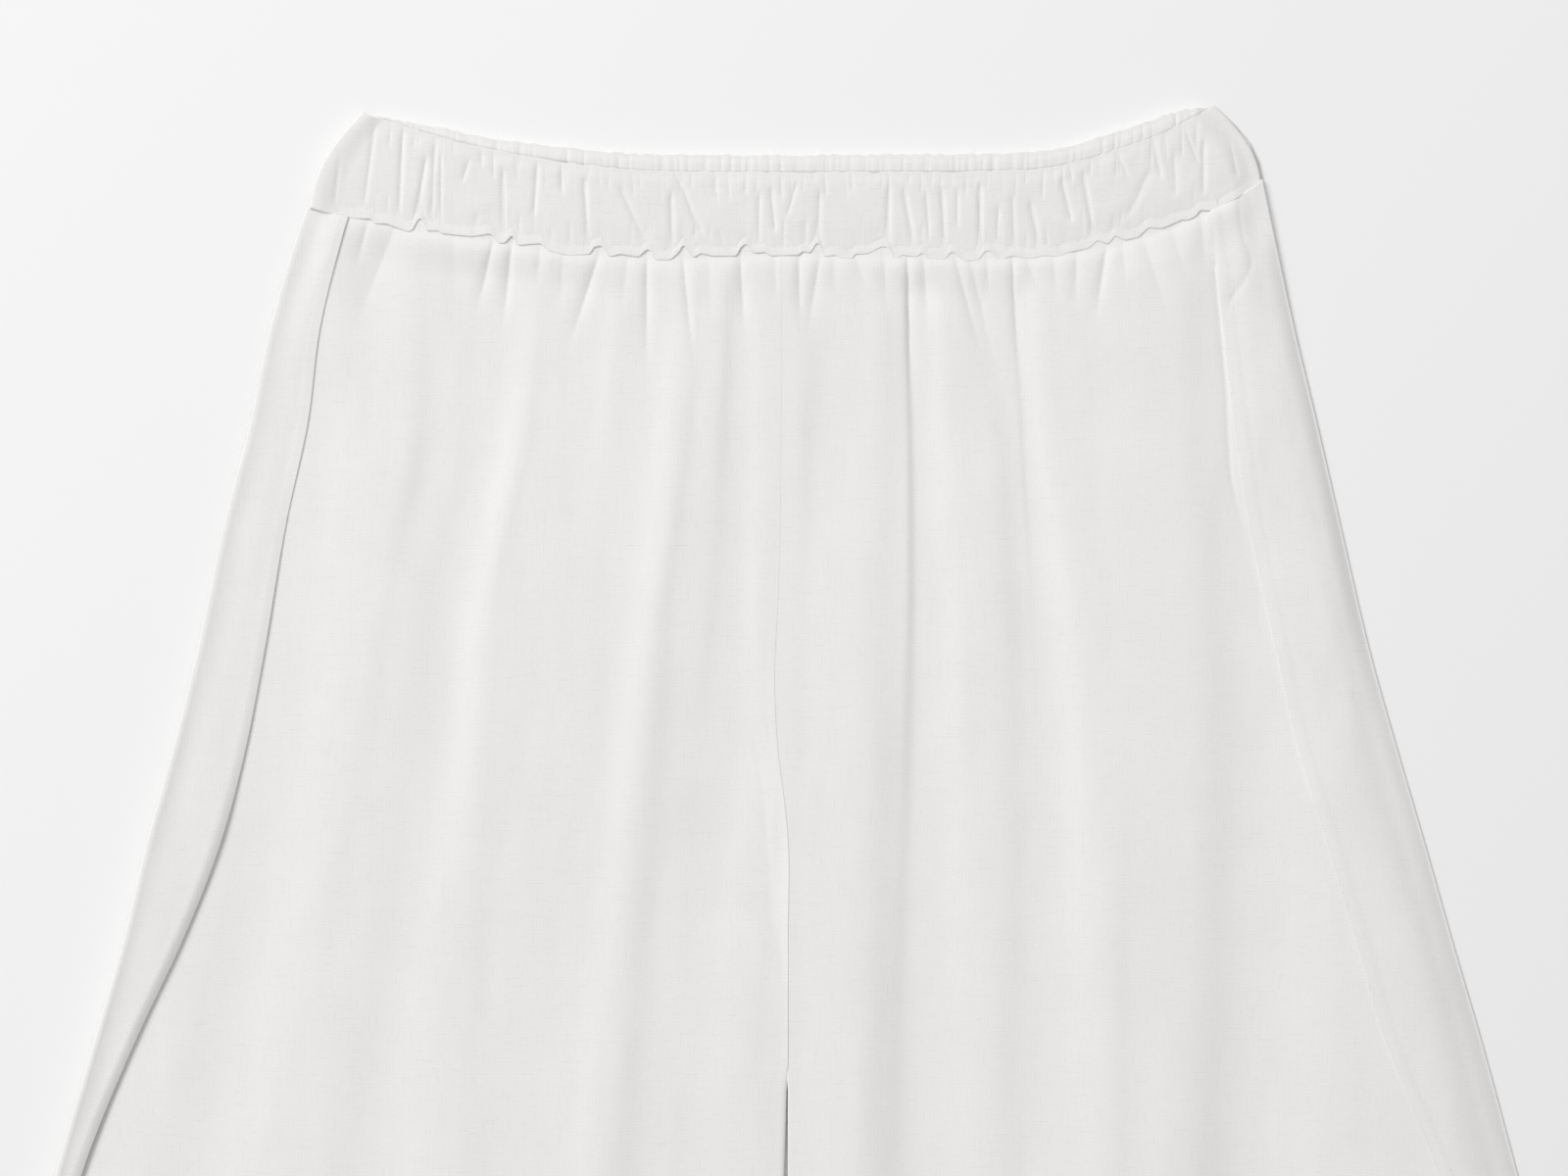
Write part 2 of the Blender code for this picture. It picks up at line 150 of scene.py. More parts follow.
# %% Colours and nodes
def linear(code):
    """An sRGB hex code as linear red, green and blue: each channel c turns to ((c + .055) / 1.055)^2.4,
    or to c / 12.92 where it is very dark."""
    channels = np.array([int(code[k : k + 2], 16) for k in (1, 3, 5)]) / 255
    light = np.where(channels > 0.04045, ((channels + 0.055) / 1.055) ** 2.4, channels / 12.92)
    return (*light.tolist(), 1)


def add_node(tree, kind, inputs=None, **settings):
    """One shader node. settings are its own options. inputs give a socket its value, or its link to
    another socket or to a node, which stands for its first output."""
    made = tree.nodes.new("ShaderNode" + kind)
    for name, value in settings.items():
        setattr(made, name, value)
    for name, value in (inputs or {}).items():
        value = value.outputs[0] if isinstance(value, bpy.types.Node) else value
        if isinstance(value, bpy.types.NodeSocket):
            tree.links.new(value, made.inputs[name])
        else:
            made.inputs[name].default_value = value
    return made


def new_material(name, finish):
    """A material whose Principled shader takes the values in finish, its tree and that shader."""
    material = bpy.data.materials.new(name)
    material.use_nodes = True
    shader = material.node_tree.nodes["Principled BSDF"]
    for socket, value in finish.items():
        shader.inputs[socket].default_value = value
    return material, material.node_tree, shader


# %% Table and light
TABLE_SIZE = 6.0
TABLE_LEVEL = -0.0002  # a hair under the cloth, so that the two faces never meet
TABLE_FINISH = {"Base Color": linear("#F5F5F5"), "Roughness": 0.9, "Specular IOR Level": 0.2}
ROOM_LIGHT = 0.558
LAMP_PLACE = (-2.42, 2.49, 2.95)
LAMP_SIZE = 2.4
LAMP_POWER = 115
LAMP_AIM = (0.0, 0.30, 0.0)

bpy.context.scene.view_settings.view_transform = "Standard"
world = bpy.data.worlds.new("white_room")
world.use_nodes = True
room = world.node_tree.nodes["Background"]
room.inputs["Color"].default_value = linear("#FFFFFF")
room.inputs["Strength"].default_value = ROOM_LIGHT
bpy.context.scene.world = world

lamp_data = bpy.data.lights.new("soft_lamp", "AREA")
lamp_data.shape = "DISK"
lamp_data.size = LAMP_SIZE
lamp_data.energy = LAMP_POWER
lamp = add_object("soft_lamp", lamp_data)
lamp.location = LAMP_PLACE
way = np.array(LAMP_AIM) - np.array(LAMP_PLACE)
tilt, turn = np.arccos(-way[2] / np.linalg.norm(way)), np.arctan2(way[1], way[0]) - np.pi / 2
lamp.rotation_euler = (tilt, 0, turn)

table_mesh = bpy.data.meshes.new("table_top")
half = TABLE_SIZE / 2
corners = [(x, y, TABLE_LEVEL) for x, y in ((-half, -half), (half, -half), (half, half), (-half, half))]
table_mesh.from_pydata(corners, [], [(0, 1, 2, 3)])
table_mesh.materials.append(new_material("matt_white_table", TABLE_FINISH)[0])
table_top = add_object("table_top", table_mesh)
print("lamp is", round(float(np.linalg.norm(way)), 2), "m away")

# %% [markdown]
# ## Washed linen
# Linen is a plain weave of flax yarn. The yarn is thick and thin by turns, and its thick places, the
# slubs, show as short pale or grey dashes along both threads. Flax fibre is dull with a faint gloss, so
# the shader is rough with a little sheen. A picture of cloth could be laid on the panels, but a pattern
# made of noise in real millimetres fits every piece and never repeats.

# %% Linen
THREAD = 1.3 * MM  # drawn: the real threads are 0.55 mm apart, too fine to show in a picture this wide
SLUB_WIDTH = 0.75 * MM
SLUB_LENGTH = 8 * MM
BLOTCH = 28 * MM
WAVE_PERIOD = 0.314  # of a wave texture of scale 1, in its own units
SLUB_CUT = {"From Min": 0.56, "From Max": 0.80}  # of the noise: its highest peaks are the slubs
TONE_SPREAD = {"From Min": 0.10, "From Max": 0.55}  # of the summed tone, from the light to the dark colour
WEAVE_RELIEF = 0.5  # of a slub's height
LINEN_FINISH = {"Roughness": 0.88, "Specular IOR Level": 0.25, "Sheen Weight": 0.08, "Sheen Roughness": 0.5}


def linen(name, light, dark):
    """Plain weave with slubs. Two noises, one stretched along each thread, are cut off low so that only
    their peaks are left as dashes. Two waves multiply to the weave, and a broad noise clouds the tone."""
    material, tree, shader = new_material(name, LINEN_FINISH)
    place = add_node(tree, "TexCoord").outputs["Object"]
    dashes = []
    for stretch in ((1 / SLUB_WIDTH, 1 / SLUB_LENGTH), (1 / SLUB_LENGTH, 1 / SLUB_WIDTH)):
        laid = add_node(tree, "Mapping", {"Vector": place, "Scale": (*stretch, 1 / SLUB_LENGTH)})
        noise = add_node(tree, "TexNoise", {"Vector": laid, "Scale": 1.0, "Detail": 1.5})
        dashes.append(add_node(tree, "MapRange", {"Value": noise, **SLUB_CUT}))
    slubs = add_node(tree, "Math", {0: dashes[0], 1: dashes[1]}, operation="MAXIMUM")
    waves = []
    for direction in ("X", "Y"):
        yarn = {"Vector": place, "Scale": WAVE_PERIOD / THREAD, "Distortion": 1.6, "Detail Scale": 0.35}
        waves.append(add_node(tree, "TexWave", yarn, bands_direction=direction).outputs["Fac"])
    weave = add_node(tree, "Math", {0: waves[0], 1: waves[1]}, operation="MULTIPLY")
    cloud = add_node(tree, "TexNoise", {"Vector": place, "Scale": 1 / BLOTCH, "Detail": 3.0})
    grain = add_node(tree, "TexNoise", {"Vector": place, "Scale": 1 / SLUB_WIDTH, "Detail": 2.0})
    # Tone: clouds and grain darken the cloth a little at random, the weave's hollows get a little painted
    # shade, and slubs darken it some more.
    tone = None
    for pattern, weight in ((cloud, 0.25), (grain, 0.30), (weave, -0.10), (slubs, 0.20)):
        part = add_node(tree, "Math", {0: pattern, 1: weight}, operation="MULTIPLY")
        tone = add_node(tree, "Math", {0: tone, 1: part}, operation="ADD") if tone else part
    spread = add_node(tree, "MapRange", {"Value": tone, **TONE_SPREAD})
    shades = {"Factor": spread, "A": linear(light), "B": linear(dark)}
    colour = add_node(tree, "Mix", shades, data_type="RGBA")
    relief = add_node(tree, "Math", {0: weave, 1: WEAVE_RELIEF}, operation="MULTIPLY")
    relief = add_node(tree, "Math", {0: relief, 1: slubs}, operation="ADD")
    bump = add_node(tree, "Bump", {"Height": relief, "Strength": 0.22, "Distance": 0.12 * MM})
    tree.links.new(colour.outputs[2], shader.inputs["Base Color"])
    tree.links.new(bump.outputs[0], shader.inputs["Normal"])
    return material


FRONT_LINEN = linen("washed_linen_front", "#F3F1F0", "#E9E7E5")  # the linen's own warm white
COOL_LINEN_PAINTED_SHADE = linen("washed_linen_cool_painted_shade", "#F0EFEE", "#E6E5E3")  # the same linen, greyer and cooler with painted shade: one layer over shade, and the back waistband in shade
CASING_LINEN_PAINTED_SHADE = linen("washed_linen_casing_painted_shade", "#F1EFEE", "#E6E4E3")  # the same linen, a little greyer with painted shade from the fine gathers of the casing
print("materials:", [material.name for material in bpy.data.materials])

# %% [markdown]
# ## The outline
# The sides, the line where the waistband is sewn on and the top of the casing are the garment's pattern
# lines. They are the same lines that the solids are built on, so each shell lands on its solid.

# %% Outline tables
# At each y: x of both sides, how far the back panel lies over the front one, the height of its turn, how
# far the front panel sinks at the right side, and how far the left strip stands off the front panel.
SIDES = table("y left right left_over right_over left_high right_high right_sinks left_stands", [
    (-520, -429, 429, 16, 34, 6, 1.1, 0.3, 1.4),
    (-330, -393, 393, 14, 32, 6.1, 1.1, 0.3, 1.5),
    (-140, -355, 355, 12, 31, 6.3, 1, 0.3, 1.7),
    (0, -323.5, 323.5, 11, 31.5, 7.4, 1, 0.3, 2.4),
    (83, -301.9, 301.8, 11.4, 33.8, 8.1, 1, 0.3, 2.8),
    (134, -287, 288, 17.6, 41, 8.3, 1, 0.3, 3.1),
    (173, -275.7, 276.6, 24.6, 40.5, 8.3, 1, 0.3, 3.1),
    (212, -266.4, 265.6, 30.6, 41, 7.7, 1, 0.3, 2.6),
    (251, -255.8, 254.2, 30.4, 41.8, 6.7, 1, 0.3, 1.7),
    (290, -246, 243.2, 28.2, 39.5, 5.8, 1, 0.2, 1),
    (349, -233.4, 229.4, 25.6, 38, 4.9, 1, 0.1, 0.2),
    (388, -223.2, 220.4, 23.9, 34.5, 4.7, 1.2, 0.1, 0.1),
    (427, -215.1, 211, 20.9, 30, 4.6, 1.6, 0.3, 0.1),
    (466, -203.7, 202.5, 19.2, 26.8, 4.5, 2.6, 0.9, 0.1),
    (490, -195.2, 197.4, 18, 26, 4.6, 2.9, 0.9, 0.1),
])

# The line where the waistband is sewn on.
SEAM = table("x y", [
    (-199, 478.4), (-163, 469.5), (-115, 462), (-80, 457.8), (-46, 455.9), (-14, 457.4),
    (40, 456.9), (86, 455.9), (112, 457.6), (147, 464.6), (165, 471.2), (182, 479.7),
    (199, 490.9),
])

# The top edge of the waistband's back half, and how much lower the front half's edge is.
TOP = table("x y drop", [
    (-177, 516.5, 0), (-148, 511.2, 3.2), (-119, 505.5, 5), (-91, 502.2, 6), (-62, 499.8, 7),
    (-34, 499.4, 7.4), (37, 499.4, 7.4), (80, 499.8, 7.2), (108, 501.2, 7.2), (137, 508.8, 7),
    (165, 518.1, 5), (178, 520, 0),
])

# The seam down the middle of the front. It wanders where the cloth was pushed, down to the crotch.
MIDDLE = table("y x", [
    (-520, 0), (75, -0.6), (118, 0), (173, 0), (218, -0.2), (230, -1.4), (254, -4.3),
    (279, -5.5), (320, -3.9), (454, -2.6), (475, -2.6),
])
HEM_Y = -520
HEM_CURVE = 22  # rise of the hem line from the middle to the sides
GAP_TOP = 118  # below it the legs part
HALF_GAP = 12  # between the legs at the hem
SLIT = 0.4  # half of what opens at the crotch
LAP = 0.25  # of the front panels over the middle line, where they are sewn together
SIGN = {"left": -1, "right": 1}


# %% Outline functions
def side_x(side, y):
    """The side edge: x of the left or the right side at height y."""
    return read(SIDES, side, y)


def seam_y(x):
    """The line where the waistband is sewn on: y at any x."""
    return read(SEAM, "y", x, "x")


def hem_y(x):
    """The hem line rises to the sides with the square of the distance from the middle."""
    return HEM_Y + HEM_CURVE * (x / SIDES["right"][0]) ** 2


def inner_x(side, y, lap=LAP):
    """Inner edge of a panel: a lap over the middle line, and below the crotch the slit and half the gap
    off it. The gap widens to the hem with the power 1.1 of the share of the way down."""
    below = np.clip((GAP_TOP - y) / (GAP_TOP - HEM_Y), 0, 1)
    opening = SLIT * ease(0, 8, GAP_TOP - y) + HALF_GAP * below**1.1
    return read(MIDDLE, "x", y) + SIGN[side] * (opening - lap)


print("hem width in mm:", round((side_x("right", HEM_Y) - side_x("left", HEM_Y)), 1))

# %% [markdown]
# ## Long folds
# The gathers hang down from the waistband as long soft folds that open towards the hem. Cloth
# simulation makes folds, but not these folds. So each flank of a fold is placed one by one: a line down
# the cloth where it rises or falls most. Between two flanks the cloth lies level, as a crest or a
# valley. A flank is a soft step, and the folds are the sum of all the steps.

# %% Fold table
# Each row is one flank: its x at the seven heights of FLANK_Y, its tilt there in per cent, as rise over
# run from left to right, and half its width at the three heights of FLANK_WIDTH_Y.
FLANK_Y = np.array([-520, 77, 157, 238, 320, 380, 433])
FLANK_WIDTH_Y = np.array([77, 280, 433])
FLANKS = {
    "left": [
        (-366, -257.8, -239.5, -225.3, -220.4, -216.3, -204.9, -8, -10, -10, -3, 0, 0, 0, 9.8, 7.3, 5.7),
        (-324, -228.1, -213.1, -196.8, -186.6, -184.6, -179, 6, 7, 10, 10, 11, 9, -10, 10.2, 12.2, 6),
        (-291, -204.9, -192.7, -179.7, -164.2, -152.8, -150.5, -2, -3, -3, -5, -7, -18, -6, 7.3, 4.9, 4),
        (-261, -183.8, -171.6, -159.3, -147.9, -133.7, -132.5, -9, -11, -10, -7, -9, -6, -3, 9.8, 6.9, 6.5),
        (-226, -159.3, -152, -137.4, -128.4, -116.6, -109.7, 6, 7, 11, 19, 23, 24, 12, 9.8, 7.3, 5.3),
        (-182, -128.4, -129.6, -124.3, -120.7, -107.2, -102, -8, -10, -9, -6, -7, -10, -5, 6.5, 3.7, 2.4),
        (-141, -99.1, -93, -86.9, -82.8, -77.9, -73.9, 1, 1, 1, 1, 1, 6, 12, 5.7, 4.9, 3.3),
        (-122, -86.1, -77.9, -69.4, -59.2, -53.5, -48.2, 8, 10, 16, 19, 21, 21, 12, 8.1, 6.9, 6.1),
        (-96, -67.8, -62.5, -55.1, -49.5, -41.3, -37.6, -19, -24, -17, -15, -19, -14, -10, 7.3, 4.9, 2),
        (-66, -46.2, -42.1, -38.9, -29.9, -26.7, -24.6, -2, -3, 0, -5, -14, -20, -20, 5.7, 4.9, 2.4),
        (-31, -27, -27, -18, -14, -14.4, -14.4, 4, 5, 9, 13, 15, 12, 10, 10.2, 5.7, 3.7),
        (-16, -11.2, -9.6, -3.5, -4.7, -3.5, -3.1, -2, -3, -10, -12, -3, -3, -3, 4.1, 1.6, 1.2),
    ],
    "right": [
        (5, 3.5, 3.1, 3.5, 5.5, 8.5, 8, -8, -10, -7, -4, -6, -18, -10, 3.3, 3.3, 6.5),
        (55, 38.5, 39.3, 40.5, 40.1, 41.7, 43.3, -26, -33, -32, -23, -14, -12, -12, 10.6, 7.3, 4.1),
        (64, 45.4, 46.6, 49.5, 51.5, 51.1, 49.9, -6, -8, -15, -28, -48, -55, -55, 4.1, 2.2, 0.9),
        (105, 73.9, 71.8, 69.8, 66.5, 62.5, 61.3, 4, 5, 11, 15, 15, 20, 20, 9, 7.3, 3.7),
        (131, 92.2, 94.2, 94.6, 92.2, 88.1, 76.7, -12, -15, -15, -15, -19, -10, -10, 8.1, 6.1, 4.5),
        (149, 105.2, 104.4, 104.4, 101.1, 97.5, 95.4, 0, 0, 0, -3, -10, -25, -30, 1.2, 1.2, 0.9),
        (178, 125.6, 121.5, 119.5, 113.3, 104, 100.7, 9, 11, 16, 24, 24, 23, 20, 9.4, 6.9, 3.3),
        (197, 139, 139, 141, 139.4, 134.9, 132.9, -8, -10, -9, -5, -1, 4, 4, 5.7, 5.7, 8.1),
        (249, 175.6, 177.7, 178.5, 177.7, 172, 167.5, -24, -30, -24, -20, -17, -10, -12, 11, 8.1, 6.5),
        (301, 212.3, 214.3, 212.3, 206.1, 202.1, 198, 6, 7, 10, 12, 7, 0, 0, 9.8, 9, 6.5),
        (411, 289.6, 270.5, 244.4, 228.9, 214.7, 202.9, -30, -38, -34, -26, -20, -11, -6, 9, 6.1, 2.8),
    ],
}


def summed_flanks(side, x, y):
    """Sum over the flanks of tilt * width * tanh(off / width), with off the distance from the flank."""
    total = 0 * x
    for flank in FLANKS[side]:
        flank = np.array(flank)
        place = smooth_read(FLANK_Y, flank[:7], y)
        tilt = smooth_read(FLANK_Y, flank[7:14] / 100, y)
        width = smooth_read(FLANK_WIDTH_Y, flank[14:], y)
        total = total + tilt * width * np.tanh((x - place) / width)
    return total


def long_folds(side, x, y):
    """The summed flanks, less a straight line, so that the panel starts and ends at height 0."""
    inner, outer = inner_x(side, y), side_x(side, y)
    at_inner, at_outer = summed_flanks(side, inner, y), summed_flanks(side, outer, y)
    share = (x - inner) / (outer - inner)
    return summed_flanks(side, x, y) - at_inner - (at_outer - at_inner) * share


print("flanks:", {side: len(rows) for side, rows in FLANKS.items()})

# %% [markdown]
# ## Gathers under the waistband
# Where the panel is drawn up on the elastic, sharp little creases start at the seam and fade into the
# long folds. Each has its own length, and most lean outwards with the flare of the leg. Every crease
# takes a share of a puff's height away, so creases that meet don't add up to a hole.

# %% Gather table
# x under the waistband and at the lower end, the share of the puff that the crease takes, its half
# width and its length.
GATHERS = [
    (-174, -180.5, 0.6, 0.8, 26), (-163, -186, 1, 4.5, 62), (-139, -137, 0.3, 2, 35),
    (-122.3, -130, 0.8, 0.7, 34), (-114.6, -118.6, 1, 0.7, 38), (-102.8, -104, 0.5, 0.8, 18),
    (-93, -95, 0.4, 1.4, 30), (-78.3, -93, 0.8, 0.9, 46), (-66.5, -69, 0.4, 1.2, 26),
    (-58.4, -58.4, 0.9, 0.6, 55), (-43.3, -38, 0.7, 0.6, 54), (-33, -31, 0.4, 1.6, 30),
    (-19.6, -17.6, 0.9, 0.7, 36), (-5.5, -4, 0.4, 1, 24), (4.7, 5.5, 0.8, 0.8, 36),
    (13.6, 7.5, 0.6, 0.8, 38), (19, 20, 0.4, 1, 18), (27.9, 34.4, 0.6, 1, 16),
    (40.1, 41.5, 0.5, 1.2, 26), (49.9, 51.5, 1, 0.6, 90), (56.4, 58.8, 0.6, 0.8, 30),
    (69.8, 82, 0.7, 0.8, 44), (75.9, 88, 0.5, 1, 52), (82.8, 84, 0.5, 0.9, 18),
    (93.4, 97.5, 0.9, 0.6, 76), (99.1, 105.2, 0.6, 0.9, 16), (110.5, 112, 0.4, 1.2, 22),
    (119.9, 119.9, 0.6, 0.9, 26), (132.5, 127.2, 0.8, 0.8, 34), (139, 141, 0.4, 1, 20),
    (147.5, 161.4, 0.5, 1.4, 46), (159.3, 167.5, 0.4, 1.4, 30), (171.6, 174.5, 0.5, 1.2, 30),
]
GATHER_RISE = 1.7  # of the puff
GATHER_SEAM_RISE = 0.4  # of the puff, where it leaves the seam


def gathers(x, below):
    """Height of the gathered cloth: the puff's height times the product, over all creases, of
    1 - depth * fall. fall is partly a sharp valley, e^(-off/width), and partly a broad bell. The puff
    comes out of the seam within a few mm, and most of it is gone 80 mm below."""
    smooth = np.ones(x.shape)
    for top, end, depth, width, length in GATHERS:
        down = np.clip(below, 0, None) / length
        off = np.abs(x - top - (end - top) * down)
        width = width * (1 + 1.2 * np.clip(down, 0, 1))
        fall = 0.55 * np.exp(-off / width) + 0.35 * bell(off, 1.4 + 1.4 * width)
        smooth *= 1 - depth * (1 - ease(0.3, 1, down)) * fall
    out_of_seam = 1 - np.exp(-np.clip(below, 0, None) / 2.5)
    rise = GATHER_SEAM_RISE + (GATHER_RISE - GATHER_SEAM_RISE) * out_of_seam
    puffed = 1 - 0.8 * ease(10, 80, below)
    return rise * puffed * smooth


print("gathers:", len(GATHERS), "from", min(row[-1] for row in GATHERS), "mm long")

# %% [markdown]
# ## Front panels
# Two panels meet in the seam down the middle. Their hems are turned up twice by machine, which leaves a
# thicker band with a stitch line that pulls the cloth into faint puckers. Below the crotch the inner
# edge rolls down to the back panel, because there the two are sewn together.

# %% Height of the front
FRONT_TOP = 3.0  # of the upper face, over the table
BAND_LIFT = 0.6  # added up to the waistband
BOTTOM_HEM = 28
FOLD_FADE = 16  # below the waistband, where the folds have their full height

# The right panel bulges up between its inner edge and its side by this much.
LIFT = table("y rise", [
    (-520, 1.2), (-150, 1.6), (77, 2), (157, 2), (238, 1.7), (280, 1.4), (330, 1.2),
    (380, 1.3), (433, 0.8), (475, 0),
])

# The crotch seam pulls a small valley into the left panel, this far from the middle. The left panel's
# edge stands up beside the right one by the lip.
ROLL = table("y reach lip", [
    (150, 0.1, 0.3), (161, 1.2, 0.26), (173, 3.3, 0.26), (183, 6.5, 0.26), (197, 8.1, 0.26),
    (235, 8.5, 0.22), (300, 8.5, 0.1), (475, 8.5, 0.03),
])
ROLL_TILT = 0.24  # of the valley's flank

# Where the hem that lies on the right panel raises the cloth beside it.
HEM_STEP = table("y x", [
    (303, 195.5), (320, 193.5), (336, 191.5), (352, 187.5), (364, 184.6), (376, 183.6), (401, 182.4),
    (425, 180.2), (454, 177.6), (475, 176.5),
])


def bottom_hem(x, y):
    """Relief of the turned-up hem: a step of one cloth below the stitch line, a fine groove on the line
    and ripples of about 9 mm that die away from it."""
    up = y - hem_y(x)
    step = 0.35 * (1 - ease(BOTTOM_HEM - 0.8, BOTTOM_HEM + 0.8, up))
    groove = -0.18 * bell(up - BOTTOM_HEM, 0.9)
    ripple = 0.14 * unevenness(x, y, 4.5, 40, 21) * bell(up - BOTTOM_HEM, 12)
    return step + groove + ripple


def middle_seam(side, y, from_inner):
    """Relief at the inner edge. Where the panels are sewn they are level, but for the left one's lip and
    the valley at the crotch. Below, the edge is round and goes down to the back panel."""
    sewn = ease(GAP_TOP - 5, GAP_TOP + 3, y)
    radius = 1.6 if side == "left" else 0.4
    round_edge = np.clip(from_inner / radius, 0, 1)
    unsewn = -1.3 * (1 - np.sqrt(1 - (1 - round_edge) ** 2))
    sewn_relief = 0 * from_inner
    if side == "left":
        reach = read(ROLL, "reach", y)
        lip = read(ROLL, "lip", y) * bell(from_inner, 2)
        shown = ease(151, 160, y) * (1 - ease(206, 290, y))
        past = 1 - ease(0, 70, from_inner - reach)
        sewn_relief = lip - shown * ROLL_TILT * np.minimum(from_inner, reach) * past
    return sewn_relief * sewn + unsewn * (1 - sewn)


def hem_step(side, x, y):
    """Relief beside the hem that lies on the right front panel: a soft step up towards the side, and at
    its foot a sharp valley, e^(-off/width), that grows up to the waistband."""
    if side == "left":
        return 0 * x
    off = x - read(HEM_STEP, "x", y)
    under_band = 1 - ease(455, 472, y)
    step = 1.2 * ease(0, 13, off) * ease(270, 330, y)
    fall = np.exp(-np.abs(off) / np.where(off < 0, 1.6, 0.7))
    valley = 0.7 * fall * ease(335, 372, y)
    return (step - valley) * under_band


def front_top(side, x, y):
    """Height of a front panel's upper face: the cloth under it, the lift to the waistband, the right
    panel's bulge and sunk side, long folds, gathers, soft unevenness, hems and middle seam, added up."""
    below = seam_y(x) - y
    from_side = np.abs(side_x(side, y) - x)
    from_inner = np.abs(x - inner_x(side, y))
    base = FRONT_TOP + BAND_LIFT * (1 - ease(0, 20, below))
    if side == "right":
        sinks = read(SIDES, "right_sinks", y)
        base = base - sinks * (1 - ease(0, 34, from_side))
        rise = read(LIFT, "rise", y)
        base = base + rise * ease(0, 50, from_inner) * ease(0, 60, from_side)
    inward = ease(0.5, 9, from_inner)
    inward = inward + (1 - inward) * ease(GAP_TOP - 40, GAP_TOP + 40, y)
    folds = long_folds(side, x, y) * ease(1, FOLD_FADE, below)
    gathered = gathers(x, below) * ease(6, 16, from_side) * inward
    handled = 0.20 * unevenness(x, y, 16, 70, 31)
    handled = handled + 0.10 * unevenness(x, y, 7, 22, 32)
    handled = handled * ease(3, 25, below) * ease(1, 12, from_inner)
    relief = bottom_hem(x, y) + middle_seam(side, y, from_inner) + hem_step(side, x, y)
    return base + folds + gathered + handled + relief


# %% [markdown]
# A shell is a grid of points, row by row from hem to waistband. The rows are close together where the
# creases are fine and further apart lower down, so the triangles go where the form needs them. A panel
# whose edges show gets a wall from Solidify. The front panels' edges are all turned under or covered,
# so there a few rows and columns that turn under do the same with half the faces.

# %% Grids and shells
FRONT_TUCK = 8.5  # of the front panel, up behind the waistband
FRONT_INSET = {"left": 5.5, "right": 12.5}  # of its side, under the back panel's hem
FRONT_COLUMNS = 330
EDGE_SHARES = [0, 0.0003, 0.0015, 0.003]  # of the width: extra columns that keep the inner edge crisp
LINEN_WALL = 0.45  # one cloth
HEM_WALL = 0.9  # a hem
WALL_LEVELS = 16  # steps from one thickness to the other
SETTLING = 3  # rounds in which x and y of a grid, which depend on each other, come to rest


def row_shares():
    """Shares of the way from hem to top: fine rows in the hem, coarse ones in the legs, finer ones from
    the crotch up, and the finest in the gathers."""
    zones = ((-520, -485, 8), (-485, 70, 44), (70, 395, 96), (395, 472, 66))
    levels = [np.linspace(low, high, count, endpoint=False) for low, high, count in zones]
    levels = np.concatenate([*levels, [zones[-1][1]]])
    return (levels - levels[0]) / (levels[-1] - levels[0])


def grid_faces(rows, columns, loop=False):
    """Four-sided faces of a grid of points numbered row by row. loop joins the last row to the first."""
    row = np.arange(rows if loop else rows - 1)[:, None]
    column = np.arange(columns - 1)
    low = row * columns + column
    high = (row + 1) % rows * columns + column
    return np.stack([low, low + 1, high + 1, high], axis=-1).reshape(-1, 4)


def add_piece(name, points, faces, material):
    """A new mesh object at the origin with smooth shading and one material, from points in mm."""
    mesh = bpy.data.meshes.new(name)
    mesh.from_pydata((points.reshape(-1, 3) * MM).tolist(), [], faces)
    mesh.materials.append(material)
    mesh.shade_smooth()
    print(name, points.shape[:2], "points, the highest at", round(float(points[..., 2].max()), 2), "mm")
    return add_object(name, mesh)


def add_wall(piece, thick_share):
    """A wall under the sheet: HEM_WALL where thick_share is 1, and LINEN_WALL where it is 0."""
    group = piece.vertex_groups.new(name="wall")
    share = LINEN_WALL / HEM_WALL + (1 - LINEN_WALL / HEM_WALL) * thick_share.ravel()
    levels = np.round(share * WALL_LEVELS) / WALL_LEVELS
    for level in np.unique(levels):
        group.add(np.flatnonzero(levels == level).tolist(), float(level), "REPLACE")
    wall = piece.modifiers.new("wall", "SOLIDIFY")
    wall.thickness = HEM_WALL * MM
    wall.offset = -1
    wall.vertex_group = "wall"
    return piece


# %% Front panel shells
TURNED_HEM = 10  # what the grid turns under at the hem


def panel_y(x, share, tuck):
    """Height on the garment of a row: a share of the way from the hem line to the waistband seam."""
    hem = hem_y(x)
    return hem + share * (seam_y(x) + tuck - hem)


def front_grid(side):
    """Points of a front panel's upper face. Each row runs from left to right between the inner edge
    and the side. Because the row's y depends on x and the edges on y, a few rounds settle both."""
    sign = SIGN[side]
    across = np.concatenate([EDGE_SHARES, np.linspace(0.006, 1, FRONT_COLUMNS)])[::sign]
    share = row_shares()[:, None]
    x = sign * 100 * np.ones((share.size, across.size))  # a first guess
    for _ in range(SETTLING):
        y = panel_y(x, share, FRONT_TUCK)
        inner = inner_x(side, y)
        x = inner + (side_x(side, y) - sign * FRONT_INSET[side] - inner) * across
    return joined(x, y, front_top(side, x, y))


def turned_under(side, points):
    """The grid with its hem and inner edge turned under: the edge once more at the depth of the wall,
    and once more TURNED_HEM back in. At the inner edge the wall goes down to the back panel."""
    edge = points[:1]
    under = np.array([0, 0, HEM_WALL])
    rows = [edge + (0, TURNED_HEM, 0) - under, edge - under, edge - (0, 0.35, 0) - under / 2, points]
    points = np.concatenate(rows)
    inner = points[:, :1] if side == "right" else points[:, -1:]
    sign = SIGN[side]
    wall = inner + (0, 0, 0)
    wall[..., 2] = np.where(inner[..., 1] < GAP_TOP, LINEN_WALL + 0.1, inner[..., 2] - 0.5)
    return np.concatenate([wall, points][::sign], axis=1)


